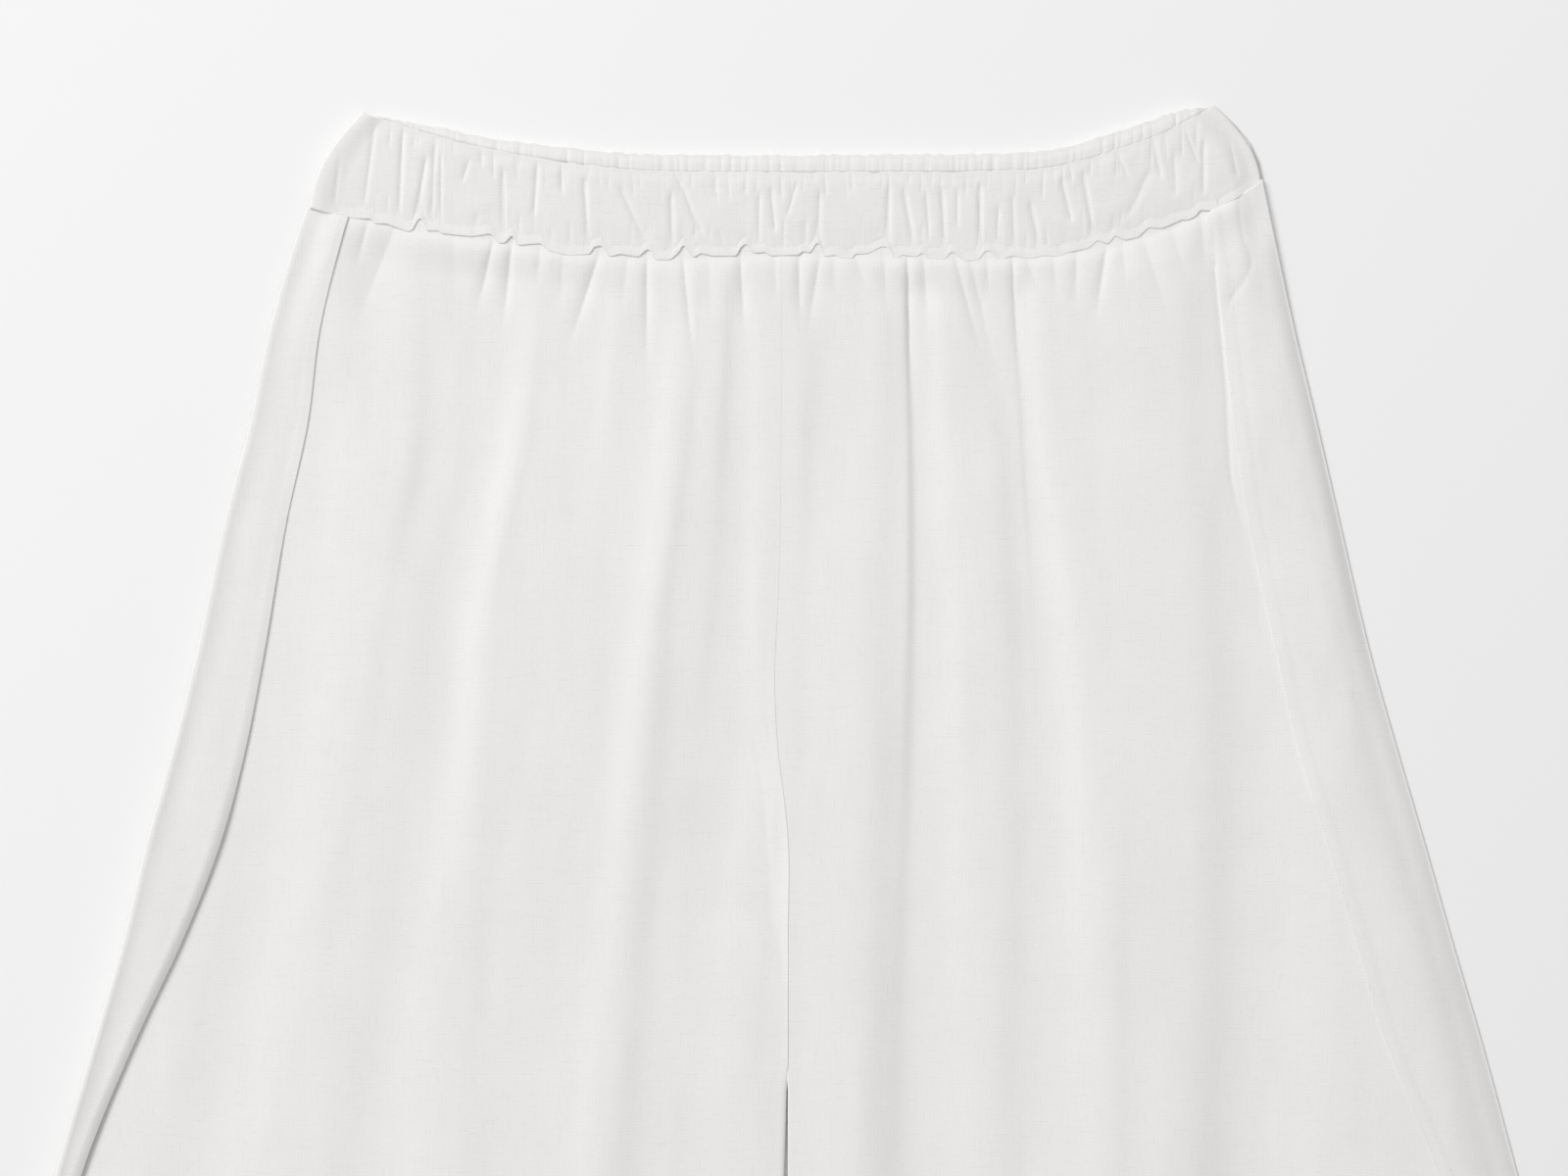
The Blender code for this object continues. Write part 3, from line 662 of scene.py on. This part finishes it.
pieces = {}
for side in ("left", "right"):
    points = turned_under(side, front_grid(side))
    faces = grid_faces(*points.shape[:2])
    pieces["front_panel_" + side] = add_piece("front_panel_shell_" + side, points, faces, FRONT_LINEN)

# %% [markdown]
# ## Back panels
# Only the sides of the back panels show: each turns round the side edge, and its narrow machined hem
# lies over the front. On the left the hem stands off the panel lower down, so that it throws a shadow.
# The grid therefore has few columns on the table and many round the turn and over the front.

# %% Back panel shells
SIDE_TURN = {"left": 2.5, "right": 0.9}  # reach of the turn round the side
SEAM_GAP = 0.2
LAYER_GAP = 0.2
SIDE_HEM = 5  # width of the narrow hem along the split
SIDE_LIFT = {"left": 1.8, "right": 0.0}  # of the cloth under the side, off the table
HEM_RISE = {"left": 0.15, "right": 0.3}  # of the narrow hem, over the strip beside it
TURN_FADE = {"left": 4, "right": 7}  # from the turn, the stretch that still follows its height
CURL, CURL_SHARE = 5, 0.7  # of the left hemmed edge: its width, and how far down it curls
BACK_COLUMNS, TURN_COLUMNS, OVER_COLUMNS = 14, 16, 36
PUCKER = table("y x", [
    (430, 182.5), (440, 184.5), (447, 189.5), (456, 192.7), (464, 189.5), (485, 187.4),
])


def side_hem(side, y, from_edge):
    """Relief of the narrow hem's stitch line: a groove, and puckers of about 7 mm that the thread pulls
    into the cloth beside it."""
    groove = -0.06 * bell(from_edge - SIDE_HEM, 0.8)
    seed = 41 if side == "left" else 42
    pucker = unevenness(y, 0 * y, 3.5, 1.0, seed) * bell(from_edge - SIDE_HEM, 3.5)
    return groove + 0.08 * pucker


def pucker_line(x, y):
    """Depth of the crease that the side seam pulls into the right hem under the waistband."""
    off = x - read(PUCKER, "x", y)
    shown = ease(430, 442, y) * (1 - ease(478, 486, y))
    return 0.5 * shown * (0.6 * np.exp(-np.abs(off) / 0.6) + 0.4 * bell(off, 3))


def strip_place(side, y, t):
    """x and height of the back panel where it lies over the front, t from 0 at the turn to 1 at the
    hemmed edge. The right one rests on the front panel and meets its turn with the square of the
    distance. The left one stands off the front panel, leaves its turn as e^(-distance/TURN_FADE) and
    curls down at its hemmed edge with the square of the distance."""
    sign = SIGN[side]
    centre = side_x(side, y) - sign * SIDE_TURN[side]
    width = read(SIDES, side + "_over", y) - SIDE_TURN[side]
    high = read(SIDES, side + "_high", y)
    x = centre - sign * width * t
    resting = front_top(side, x, y) + LAYER_GAP + LINEN_WALL
    wave = 0.25 * unevenness(x, y, 14, 32, 43) * ease(0.1, 0.5, t)
    from_edge = width * (1 - t)
    if side == "left":
        stands = read(SIDES, "left_stands", y)
        rolled = CURL_SHARE * stands * (1 - np.clip(from_edge / CURL, 0, 1)) ** 2
        over = resting + wave + stands - rolled
        over = over + (high - over) * np.exp(-width * t / TURN_FADE[side])
    else:
        over = resting + wave - pucker_line(x, y)
        over = over + (high - over) * (1 - np.clip(width * t / TURN_FADE[side], 0, 1)) ** 2
    thicker = HEM_RISE[side] * (1 - ease(SIDE_HEM - 2, SIDE_HEM + 2, from_edge))
    return x, over + thicker + side_hem(side, y, from_edge) * ease(0, 0.2, t)


def square_turn(angle):
    """Sideways and upward shares of a turn with flat sides: cosine and sine to the power of a half,
    which bends a circle towards its square."""
    return np.sqrt(np.abs(np.cos(angle))), np.sign(np.sin(angle)) * np.sqrt(np.abs(np.sin(angle)))


def back_grid(side):
    """Points of a back panel's outer face from hem to waistband: flat on the table, a turn of half a
    round up the side, then over the front panel."""
    sign = SIGN[side]
    share = row_shares()
    flat = np.append(np.linspace(0, 0.93, BACK_COLUMNS - 4), [0.945, 0.96, 0.975, 0.99, 1])
    turn = np.linspace(-np.pi / 2, np.pi / 2, TURN_COLUMNS + 1)[1:]
    over = np.append(np.linspace(0, 0.997, OVER_COLUMNS)[1:], 1)
    columns = []
    for kind, t in [("flat", t) for t in flat] + [("turn", t) for t in turn] + [("over", t) for t in over]:
        x = np.full(share.size, sign * 150.0)  # a first guess
        for _ in range(SETTLING):
            y = panel_y(x, share, -SEAM_GAP)
            centre = side_x(side, y) - sign * SIDE_TURN[side]
            high = read(SIDES, side + "_high", y)
            if kind == "flat":
                inner = inner_x(side, y, -0.05)
                x = inner + (centre - inner) * t
                z = SIDE_LIFT[side] * (1 - ease(0, 15, np.abs(centre - x)))
            elif kind == "turn":
                aside, upward = square_turn(t)
                x = centre + sign * SIDE_TURN[side] * aside
                z = SIDE_LIFT[side] + (high - SIDE_LIFT[side]) / 2 * (1 + upward)
            else:
                x, z = strip_place(side, y, t)
        columns.append(joined(x, y, z))
    return np.stack(columns[::-sign], axis=1)


for side in ("left", "right"):
    points = back_grid(side)
    rows, columns = points.shape[:2]
    up = points[..., 1] - hem_y(points[..., 0])
    thick = 1 - ease(BOTTOM_HEM - 0.8, BOTTOM_HEM + 0.8, up)
    from_edge = np.arange(columns)[:: SIGN[side]]
    strip_width = read(SIDES, side + "_over", points[:, 0, 1])[:, None]
    in_hem = from_edge * strip_width / OVER_COLUMNS < SIDE_HEM
    thick = np.maximum(thick, in_hem)
    # The left back panel takes the linen with painted shade, greyer and cooler, and the right one the
    # linen's own white.
    cloth = COOL_LINEN_PAINTED_SHADE if side == "left" else FRONT_LINEN
    shell = add_piece("back_panel_shell_" + side, points, grid_faces(rows, columns), cloth)
    pieces["back_panel_" + side] = add_wall(shell, thick)

# %% [markdown]
# ## Waistband
# The waistband is a casing, folded over and sewn down with a channel stitch 4 mm above its foot. Below
# that stitch a little rim of cloth stands out and waves where the deep folds pull it up. Above it the
# elastic draws the casing into puffs. Seen from above, the top edge of the back half shows behind the
# front half, finely gathered. Each half is a closed tube: up the outer face, over the top and down the
# inner face, the way the real casing is folded.

# %% Waistband tables
BAND_TURN = 2.7  # reach of the round end at each side
BAND_ENDS = np.array([(1.2, 3.6, 5.9), (0.0, 1.25, 2.5)])  # left and right: underside, middle and top
BAND_CLOTH = 1.4  # the wall of the casing, with its elastic
BAND_HEIGHT = 42
BAND_FAN = 48  # from each side, the stretch that slopes with the side
BAND_SIDES = {"left": (-198.5, -177.0, -4.6), "right": (197.5, 178.0, 4.5)}
BAND_FOOT = 4.6  # height of the front half's foot, which lies on the front panel
BAND_SWELL = 0.6  # of the casing, over the rim
BAND_PUFF = 1.35  # depth of the creases
GATHER_REACH = 186  # of the small gathers, on both sides of the middle
BAND_LEAST = 4.12  # the deepest crease stops here, clear of the front panel
RIM_SHARE = 0.105  # of the band's height, below the channel stitch
RIM_FALL = 0.36  # from the rim's foot to the stitch

# The front half's foot: level stretches, with short steps up where a deep fold lifts the rim.
FOOT = table("x y", [
    (-197.2, 477.1), (-190, 475), (-182.9, 473.2), (-172.8, 472.9), (-171.6, 470.9), (-166.3, 470.9),
    (-157.7, 467.6), (-155.7, 468), (-153.6, 472.5), (-151.6, 473.3), (-150, 468), (-144.7, 468),
    (-143.5, 466.8), (-130.9, 465.6), (-123.1, 466.8), (-119.9, 462.8), (-117.4, 462.8), (-114.2, 466.4),
    (-112.1, 461.9), (-102.4, 462.8), (-99.1, 459.5), (-90.2, 457.5), (-81.6, 458.3), (-80.8, 461.1),
    (-77.1, 461.9), (-73.9, 457.1), (-69.4, 458.3), (-61.7, 457.1), (-58.4, 460.3), (-56.8, 459.9),
    (-55.6, 456.7), (-53.9, 455.8), (-48.6, 455.8), (-45, 459.1), (-43.3, 462.4), (-38.9, 456.7),
    (-36, 458.7), (-31.1, 457.5), (-21, 457.5), (-19.7, 460.7), (-17.7, 462.4), (-16.5, 462.4),
    (-15.7, 459.9), (-13.6, 458.7), (-8.8, 459.1), (-7.1, 457.5), (5.1, 457.9), (5.9, 459.5),
    (9.6, 458.7), (11.6, 462.4), (13.2, 463.2), (14.9, 457.1), (20.1, 457.9), (22.6, 456.2),
    (27.1, 456.2), (27.9, 458.3), (33.2, 458.3), (39.3, 461.5), (42.5, 460.7), (43.8, 456.2),
    (45.8, 456.2), (47.4, 457.9), (53.9, 457.1), (56, 459.1), (58, 456.2), (65.3, 455.8),
    (67.8, 459.1), (69, 459.1), (73.1, 455.4), (77.5, 455.4), (79.6, 455.8), (82, 459.5),
    (84.5, 459.5), (87.7, 455), (89.3, 455), (90.6, 456.7), (93.8, 457.5), (101.5, 456.2),
    (106, 457.5), (112.9, 457.1), (115.8, 458.7), (125.2, 460.7), (128.8, 464), (133.3, 462.4),
    (136.1, 466), (140.2, 464), (145.5, 465.2), (150, 469.3), (155.7, 468.9), (163.8, 472.5),
    (166.7, 472.5), (169.9, 474.2), (171.1, 476.6), (178.5, 476), (180.6, 477.7), (182.6, 479.3),
    (187, 481.6), (193.5, 485.8),
])

# Creases of the front half: x at the foot and at the top, the shares of the height between which they
# show, their share of the depth, and their width.
CREASES = [
    (-188.6, -184, 0.12, 0.95, 0.7, 0.6), (-176.5, -171, 0.15, 0.95, 0.55, 0.7),
    (-161.5, -159.5, 0.03, 1, 0.95, 0.5), (-154, -148.5, 0.05, 0.75, 0.9, 0.55),
    (-147.5, -146.5, 0, 0.95, 0.45, 0.5), (-143.8, -143.8, 0, 0.85, 0.5, 0.5),
    (-142, -130, 0.6, 0.85, 0.5, 0.55), (-126.8, -126.8, 0.8, 1, 0.55, 0.45),
    (-129, -129.5, 0, 0.25, 0.4, 0.8), (-117.5, -118.3, 0.05, 0.8, 0.9, 0.55),
    (-111.5, -111, 0, 0.35, 0.45, 0.7), (-106, -103.5, 0.35, 0.95, 0.8, 0.5),
    (-98.5, -96, 0, 0.25, 0.45, 0.7), (-93.8, -93.8, 0.7, 1, 0.55, 0.45),
    (-90.5, -89, 0, 0.22, 0.45, 0.6), (-82.2, -84.8, 0.03, 0.85, 0.9, 0.6),
    (-56, -73, 0.15, 0.8, 0.7, 0.8), (-47.5, -48.5, 0, 0.75, 1, 0.55),
    (-31.5, -47, 0.25, 0.95, 0.65, 0.75), (-26, -33, 0, 0.3, 0.5, 0.65),
    (-12, -11.5, 0.05, 0.75, 0.6, 0.6), (-4, -7.5, 0.3, 0.8, 0.7, 0.6),
    (-4.5, 5, 0.5, 0.9, 0.5, 0.65), (12.5, 14, 0.1, 0.75, 0.6, 0.65),
    (41.5, 42.5, 0, 0.8, 1, 0.55), (53.5, 47, 0, 0.8, 0.95, 0.6),
    (59.5, 57, 0.25, 0.8, 0.55, 0.55), (65.8, 63.8, 0.03, 0.8, 0.9, 0.55),
    (70.6, 70.6, 0.35, 0.8, 0.55, 0.5), (80.2, 80, 0.03, 0.85, 1, 0.55),
    (87, 88, 0.05, 0.6, 0.6, 0.65), (94.5, 93, 0, 0.7, 0.55, 0.7),
    (105.5, 98.5, 0.05, 0.65, 0.85, 0.65), (121, 112.5, 0.35, 0.85, 0.8, 0.6),
    (128, 122, 0.05, 0.85, 0.95, 0.55), (122.5, 117, 0.8, 1, 0.6, 0.45),
    (135, 160, 0.25, 0.65, 0.5, 2.2), (153, 136, 0.7, 0.98, 0.6, 0.6),
    (159.5, 151.5, 0.55, 0.98, 0.65, 0.7), (162, 160, 0.3, 0.75, 0.5, 1.2),
    (173, 172.8, 0.2, 0.75, 0.85, 0.6), (179, 164, 0.55, 0.95, 0.5, 0.5),
    (189, 181, 0.25, 1, 0.75, 0.5),
]


# %% Waistband form
def band_side(side, v):
    """x of the waistband's side at share v of its height: a straight slope that bows out midway."""
    foot, end, bow = BAND_SIDES[side]
    return foot + (end - foot) * v + bow * np.sin(np.pi * v)


def foot_y(x):
    """The measured steps joined by straight lines, each point taken as the mean of three 0.6 mm apart."""
    near = [np.interp(x + off, FOOT["x"], FOOT["y"]) for off in (-0.6, 0, 0.6)]
    return sum(near) / 3


def band_place(across, v, front):
    """x and y of waistband points, across from 0 to 1 and v from foot to top. The sides slope, and the
    cloth beside them follows until it stands straight at BAND_FAN."""
    left, right = band_side("left", 0.5), band_side("right", 0.5)
    x = left + (right - left) * across
    left_pull = 1 - ease(0, BAND_FAN, x - left)
    right_pull = 1 - ease(0, BAND_FAN, right - x)

    def at_height(level):
        """x at one share of the height: both sides pull the cloth beside them along."""
        shift = (band_side("left", level) - left) * left_pull
        return x + shift + (band_side("right", level) - right) * right_pull

    foot_x, top_x = at_height(0 * v), at_height(0 * v + 1)
    foot = foot_y(foot_x) if front else seam_y(foot_x)
    top = read(TOP, "y", top_x, "x")
    if front:
        top = top - read(TOP, "drop", top_x, "x")
        ragged = unevenness(x, 0 * x, 3.2, 1.0, 55) + unevenness(x, 0 * x, 11, 1.0, 56)
        top = top + 0.4 * ragged * (1 - left_pull) * (1 - right_pull)
    return at_height(v), foot + (top - foot) * v


def small_gathers(count, low, high, seed):
    """Rows like those of CREASES, by chance: evenly spread places moved by up to half a space, with
    leans, lengths, depths and widths of their own."""
    chance = np.random.default_rng(seed)
    x = np.linspace(-GATHER_REACH, GATHER_REACH, count)
    x = x + chance.uniform(-0.5, 0.5, count) * 2 * GATHER_REACH / count
    lean = chance.uniform(-1.6, 1.6, count)
    start = np.clip(low + chance.uniform(-0.12, 0.12, count), 0, 1)
    end = np.clip(high + chance.uniform(-0.15, 0.15, count), 0, 1.2)
    depth = chance.uniform(0.10, 0.45, count)
    width = chance.uniform(0.30, 0.6, count)
    return np.stack([x - lean, x + lean, start, end, depth, width], axis=-1)


def creased(x, v, creases):
    """1 on smooth cloth and lower in the creases: the product over all creases of 1 - depth * fall. The
    crease line leans from foot to top. fall is partly sharp, e^(-off/width), and partly a bell. The
    bell is broader on the left, because the cloth slopes into a crease and steps up out of it."""
    smooth = np.ones(x.shape)
    for foot, top, low, high, depth, width in creases:
        off = x - (foot + (top - foot) * v)
        shown = ease(low - 0.06, low + 0.06, v) * (1 - ease(high - 0.10, high + 0.06, v))
        slope = np.where(off < 0, bell(off, 0.9 + 1.5 * width), bell(off, 0.5 + width))
        fall = 0.58 * np.exp(-np.abs(off) / width) + 0.30 * slope
        smooth = smooth * (1 - depth * shown * fall)
    return smooth


def front_band_height(x, v):
    """Height of the front half's outer face: a rim that falls to a groove at the channel stitch, then
    the swell of the casing, less what the creases take away. It levels out at the top edge, and it is
    nowhere lower than BAND_LEAST."""
    rim = BAND_FOOT - RIM_FALL * np.clip(v / RIM_SHARE, 0, 1) - 0.1 * bell(v - RIM_SHARE, 0.025)
    ripple = 0.10 * unevenness(x, 0 * x, 4.2, 1.0, 51) * (1 - ease(0.10, 0.3, v))
    puff = creased(x, v, CREASES)
    puff = puff * creased(x, v, small_gathers(74, 0.78, 1.1, 52))
    puff = puff * creased(x, v, small_gathers(34, 0.10, 0.34, 53))
    handled = 0.22 * unevenness(x, v * BAND_HEIGHT, 11, 13, 54) * ease(0.1, 0.4, v)
    swell = ease(0.02, 0.42, v)
    folded = (1 - puff) * (0.45 + 0.55 * swell) * ease(0.06, 0.14, v)
    body = BAND_SWELL * swell - BAND_PUFF * folded + handled
    return np.maximum(rim + ripple + body * (1 - 0.75 * ease(0.85, 1, v)), BAND_LEAST)


def back_band_height(x, v):
    """Height of the back half's upper face: flat low down, then a rise with a fine puff that the chance
    gathers take away. Where it shows behind the front half it rises once more, to about its level."""
    puff = creased(x, v, small_gathers(88, 0.5, 1.2, 61)) * creased(x, v, small_gathers(60, 0.7, 1.2, 62))
    puffed = 1.1 * puff * (1 - 0.6 * ease(0.9, 1, v))
    above = read(TOP, "drop", x, "x") - (1 - v) * BAND_HEIGHT
    shows = ease(-0.3, 0.9, above)
    return BAND_CLOTH + ease(0.3, 0.75, v) * (1.3 + puffed) + 0.8 * shows


# %% Waistband shells
FRONT_BAND_COLUMNS, BACK_BAND_COLUMNS, END_COLUMNS = 930, 760, 8
BAND_ROUND = 9  # from the round end, where the face has its own height
FIRST_ANGLE = SEAM_GAP / 6 / BAND_TURN  # of the round ends, so that the two halves just don't touch


def band_grid(front, columns, face_rows, plain_rows):
    """Rows round the tube: face_rows up the gathered face, three over the top edge, plain_rows down the
    plain face and three round the foot. inside is 0 on the gathered face and 1 on the plain one, and
    edge pushes the rows between them outwards by a half circle."""
    roll = np.array([0.15, 0.5, 0.85])
    v = np.concatenate([face_rows, [1, 1, 1], plain_rows, [0, 0, 0]])[:, None]
    inside = np.concatenate([0 * face_rows, roll, 0 * plain_rows + 1, roll[::-1]])[:, None]
    bulge = 0.3 * np.sin(np.pi * roll)
    edge = np.concatenate([0 * face_rows, bulge, 0 * plain_rows, -bulge])[:, None]
    left, right = band_side("left", 0.5), band_side("right", 0.5)
    inset = BAND_TURN / (right - left)
    across = np.linspace(inset, 1 - inset, columns)[None, :]
    middle_x = left + (right - left) * across + 0 * v
    x, y = band_place(across + 0 * v, v + 0 * across, front)
    away = ease(0, BAND_ROUND, middle_x - left - BAND_TURN)
    away = away * ease(0, BAND_ROUND, right - BAND_TURN - middle_x)
    under, middle, top = np.moveaxis(BAND_ENDS[np.where(middle_x < 0, 0, 1)], -1, 0)
    inner_share = 1 - BAND_CLOTH / BAND_TURN
    if front:
        rich = top + away * (front_band_height(x, v + 0 * across) - top)
        plain = middle + (top - middle) * inner_share
        plain = plain + away * (2 * BAND_TURN - BAND_CLOTH - plain)
    else:
        rich = middle - (middle - under) * inner_share
        rich = rich + away * (back_band_height(x, v + 0 * across) - rich)
        plain = under * (1 - away)
        ragged = 0.5 * unevenness(middle_x, 0 * middle_x, 2.6, 1.0, 63)
        y = y + ragged * ease(0.9, 1, v)
    z = rich + (plain - rich) * inside
    ends = []
    for end, sign in ((0, -1), (1, 1)):
        angle = np.linspace(FIRST_ANGLE, np.pi / 2, END_COLUMNS, endpoint=False)[::-sign][None, :]
        end_x, end_y = band_place(end + 0 * angle + 0 * v, v + 0 * angle, front)
        radius = BAND_TURN - BAND_CLOTH * (inside if front else 1 - inside)
        aside, upward = square_turn(angle)
        round_x = end_x - sign * BAND_TURN + sign * radius * aside
        under, middle, top = BAND_ENDS[end]
        reach = top - middle if front else under - middle
        round_z = middle + reach * radius / BAND_TURN * upward
        ends.append(joined(round_x, end_y + edge, round_z))
    flat = joined(x, y + edge, z)
    return np.concatenate([ends[0], flat, ends[1]], axis=1)


face_rows = np.concatenate([np.linspace(0, 0.2, 14, endpoint=False), np.linspace(0.2, 1, 44)])
front_points = band_grid(True, FRONT_BAND_COLUMNS, face_rows, np.linspace(1, 0, 6))
back_rows = np.concatenate([np.linspace(0, 0.7, 6, endpoint=False), np.linspace(0.7, 1, 24)])
back_points = band_grid(False, BACK_BAND_COLUMNS, back_rows, np.linspace(1, 0, 5))
# The front half takes the linen with painted shade from its gathers, and the back half the greyer, cooler
# linen with painted shade.
for name, points, cloth in (("front", front_points, CASING_LINEN_PAINTED_SHADE), ("back", back_points, COOL_LINEN_PAINTED_SHADE)):
    rows, columns = points.shape[:2]
    faces = grid_faces(rows, columns, loop=True).tolist()
    faces.append([row * columns for row in range(rows)])
    faces.append([row * columns + columns - 1 for row in range(rows)][::-1])
    pieces["waistband_" + name] = add_piece("waistband_shell_" + name, points, faces, cloth)

# %% [markdown]
# ## Sewing
# Every stitch line is a row of small thread loops, 3 mm from one to the next. Each loop is a slim
# spindle that lies on the cloth. Hundreds are needed, so a spindle has only 36 triangles, and all the
# spindles of a line are worked out together as one array.

# %% Stitches
STITCH = 3.0
STITCH_LENGTH = 2.3
THREAD_WIDTH = 0.36
SUNK = (0, 0, 0.06)  # of the middle of the thread, under the face of the cloth
NEVER_ZERO = 1e-12  # added to a length before it divides


def spindle():
    """Points and faces of one spindle along x: a pole, three rings of six, a pole. The poles are points
    0 and 19, and the rings start at 1, 7 and 13."""
    ring_x = np.array([-0.55, 0, 0.55])
    ring_size = np.array([0.75, 1, 0.75])
    angle = np.arange(6) * np.pi / 3
    x = np.repeat(ring_x, 6)
    y = np.outer(ring_size, np.cos(angle)).ravel()
    z = np.outer(ring_size, np.sin(angle)).ravel()
    points = np.concatenate([[(-1, 0, 0)], joined(x, y, z), [(1, 0, 0)]])
    beside = [(k, (k + 1) % 6) for k in range(6)]
    faces = [(0, 1 + b, 1 + a) for a, b in beside] + [(19, 13 + a, 13 + b) for a, b in beside]
    for ring in (1, 7):
        faces += [(ring + a, ring + b, ring + 6 + b, ring + 6 + a) for a, b in beside]
    return points, faces


def add_stitches(name, path, material):
    """Spindles along a path on the cloth, sunk a little into it, one every STITCH: the spindle's x goes
    along the path, its y across and its z up, each times its own size."""
    shape, faces = spindle()
    path = path - SUNK
    size = np.array([STITCH_LENGTH, THREAD_WIDTH, THREAD_WIDTH]) / 2
    gone = np.concatenate([[0], np.cumsum(np.linalg.norm(np.diff(path, axis=0), axis=1))])
    at = np.arange(STITCH / 2, gone[-1], STITCH)
    centre = np.stack([np.interp(at, gone, axis) for axis in path.T], axis=-1)
    along = np.stack([np.interp(at + STITCH / 3, gone, axis) for axis in path.T], axis=-1) - centre
    along /= np.linalg.norm(along, axis=1, keepdims=True) + NEVER_ZERO
    across = np.cross([0, 0, 1], along)
    across /= np.linalg.norm(across, axis=1, keepdims=True)
    axes = np.stack([along, across, np.cross(along, across)], axis=1)
    points = centre[:, None, :] + (shape * size) @ axes
    starts = range(0, len(at) * len(shape), len(shape))  # the number of each spindle's first point
    all_faces = [tuple(start + corner for corner in face) for start in starts for face in faces]
    return add_piece(name, points, all_faces, material)


# %% [markdown]
# Polyester core thread is smoother than the linen and a little brighter, so it catches the light.

# %% Thread and stitch lines
THREAD_FINISH = {"Base Color": linear("#EFEDEB"), "Roughness": 0.6, "Sheen Weight": 0.1}
thread = new_material("spun_polyester_thread", THREAD_FINISH)[0]
HEM_CLEAR = {"inner": 3, "outer": 36}  # free of hem stitches: at the inner edge, and under the strip
SIDE_CLEAR = {"low": 26, "high": 4}  # free of side stitches: over the hem line, and under the waistband


def hem_path(side):
    """A line along the stitches of a front panel's bottom hem."""
    sign = SIGN[side]
    inner = inner_x(side, HEM_Y + BOTTOM_HEM)
    outer = side_x(side, HEM_Y + BOTTOM_HEM) - sign * HEM_CLEAR["outer"]
    x = np.linspace(inner + sign * HEM_CLEAR["inner"], outer, 400)
    y = hem_y(x) + BOTTOM_HEM
    return joined(x, y, front_top(side, x, y))


def side_path(side):
    """A line along the stitches of the narrow hem that lies over the front panel."""
    top = seam_y(side_x(side, 450)) - SIDE_CLEAR["high"]
    y = np.linspace(HEM_Y + SIDE_CLEAR["low"], top, 1200)
    width = read(SIDES, side + "_over", y) - SIDE_TURN[side]
    x, z = strip_place(side, y, 1 - SIDE_HEM / width)
    return joined(x, y, z)


def channel_path():
    """A line along the channel stitch of the waistband."""
    across = np.linspace(0.05, 0.95, 3000)
    v = 0 * across + RIM_SHARE
    x, y = band_place(across, v, True)
    return joined(x, y, front_band_height(x, v))


stitches = {
    "front_panel_left": add_stitches("hem_stitches_left", hem_path("left"), thread),
    "front_panel_right": add_stitches("hem_stitches_right", hem_path("right"), thread),
    "back_panel_left": add_stitches("side_hem_stitches_left", side_path("left"), thread),
    "back_panel_right": add_stitches("side_hem_stitches_right", side_path("right"), thread),
    "waistband_front": add_stitches("channel_stitches", channel_path(), thread),
}

# %% [markdown]
# ## Telling the frame
# Each shell stands for its solid and rides on the one body.

# %% Ride and replace
for name, shell in pieces.items():
    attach(shell, "root")
    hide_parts(name)
for name, thread_piece in stitches.items():
    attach(thread_piece, "root")
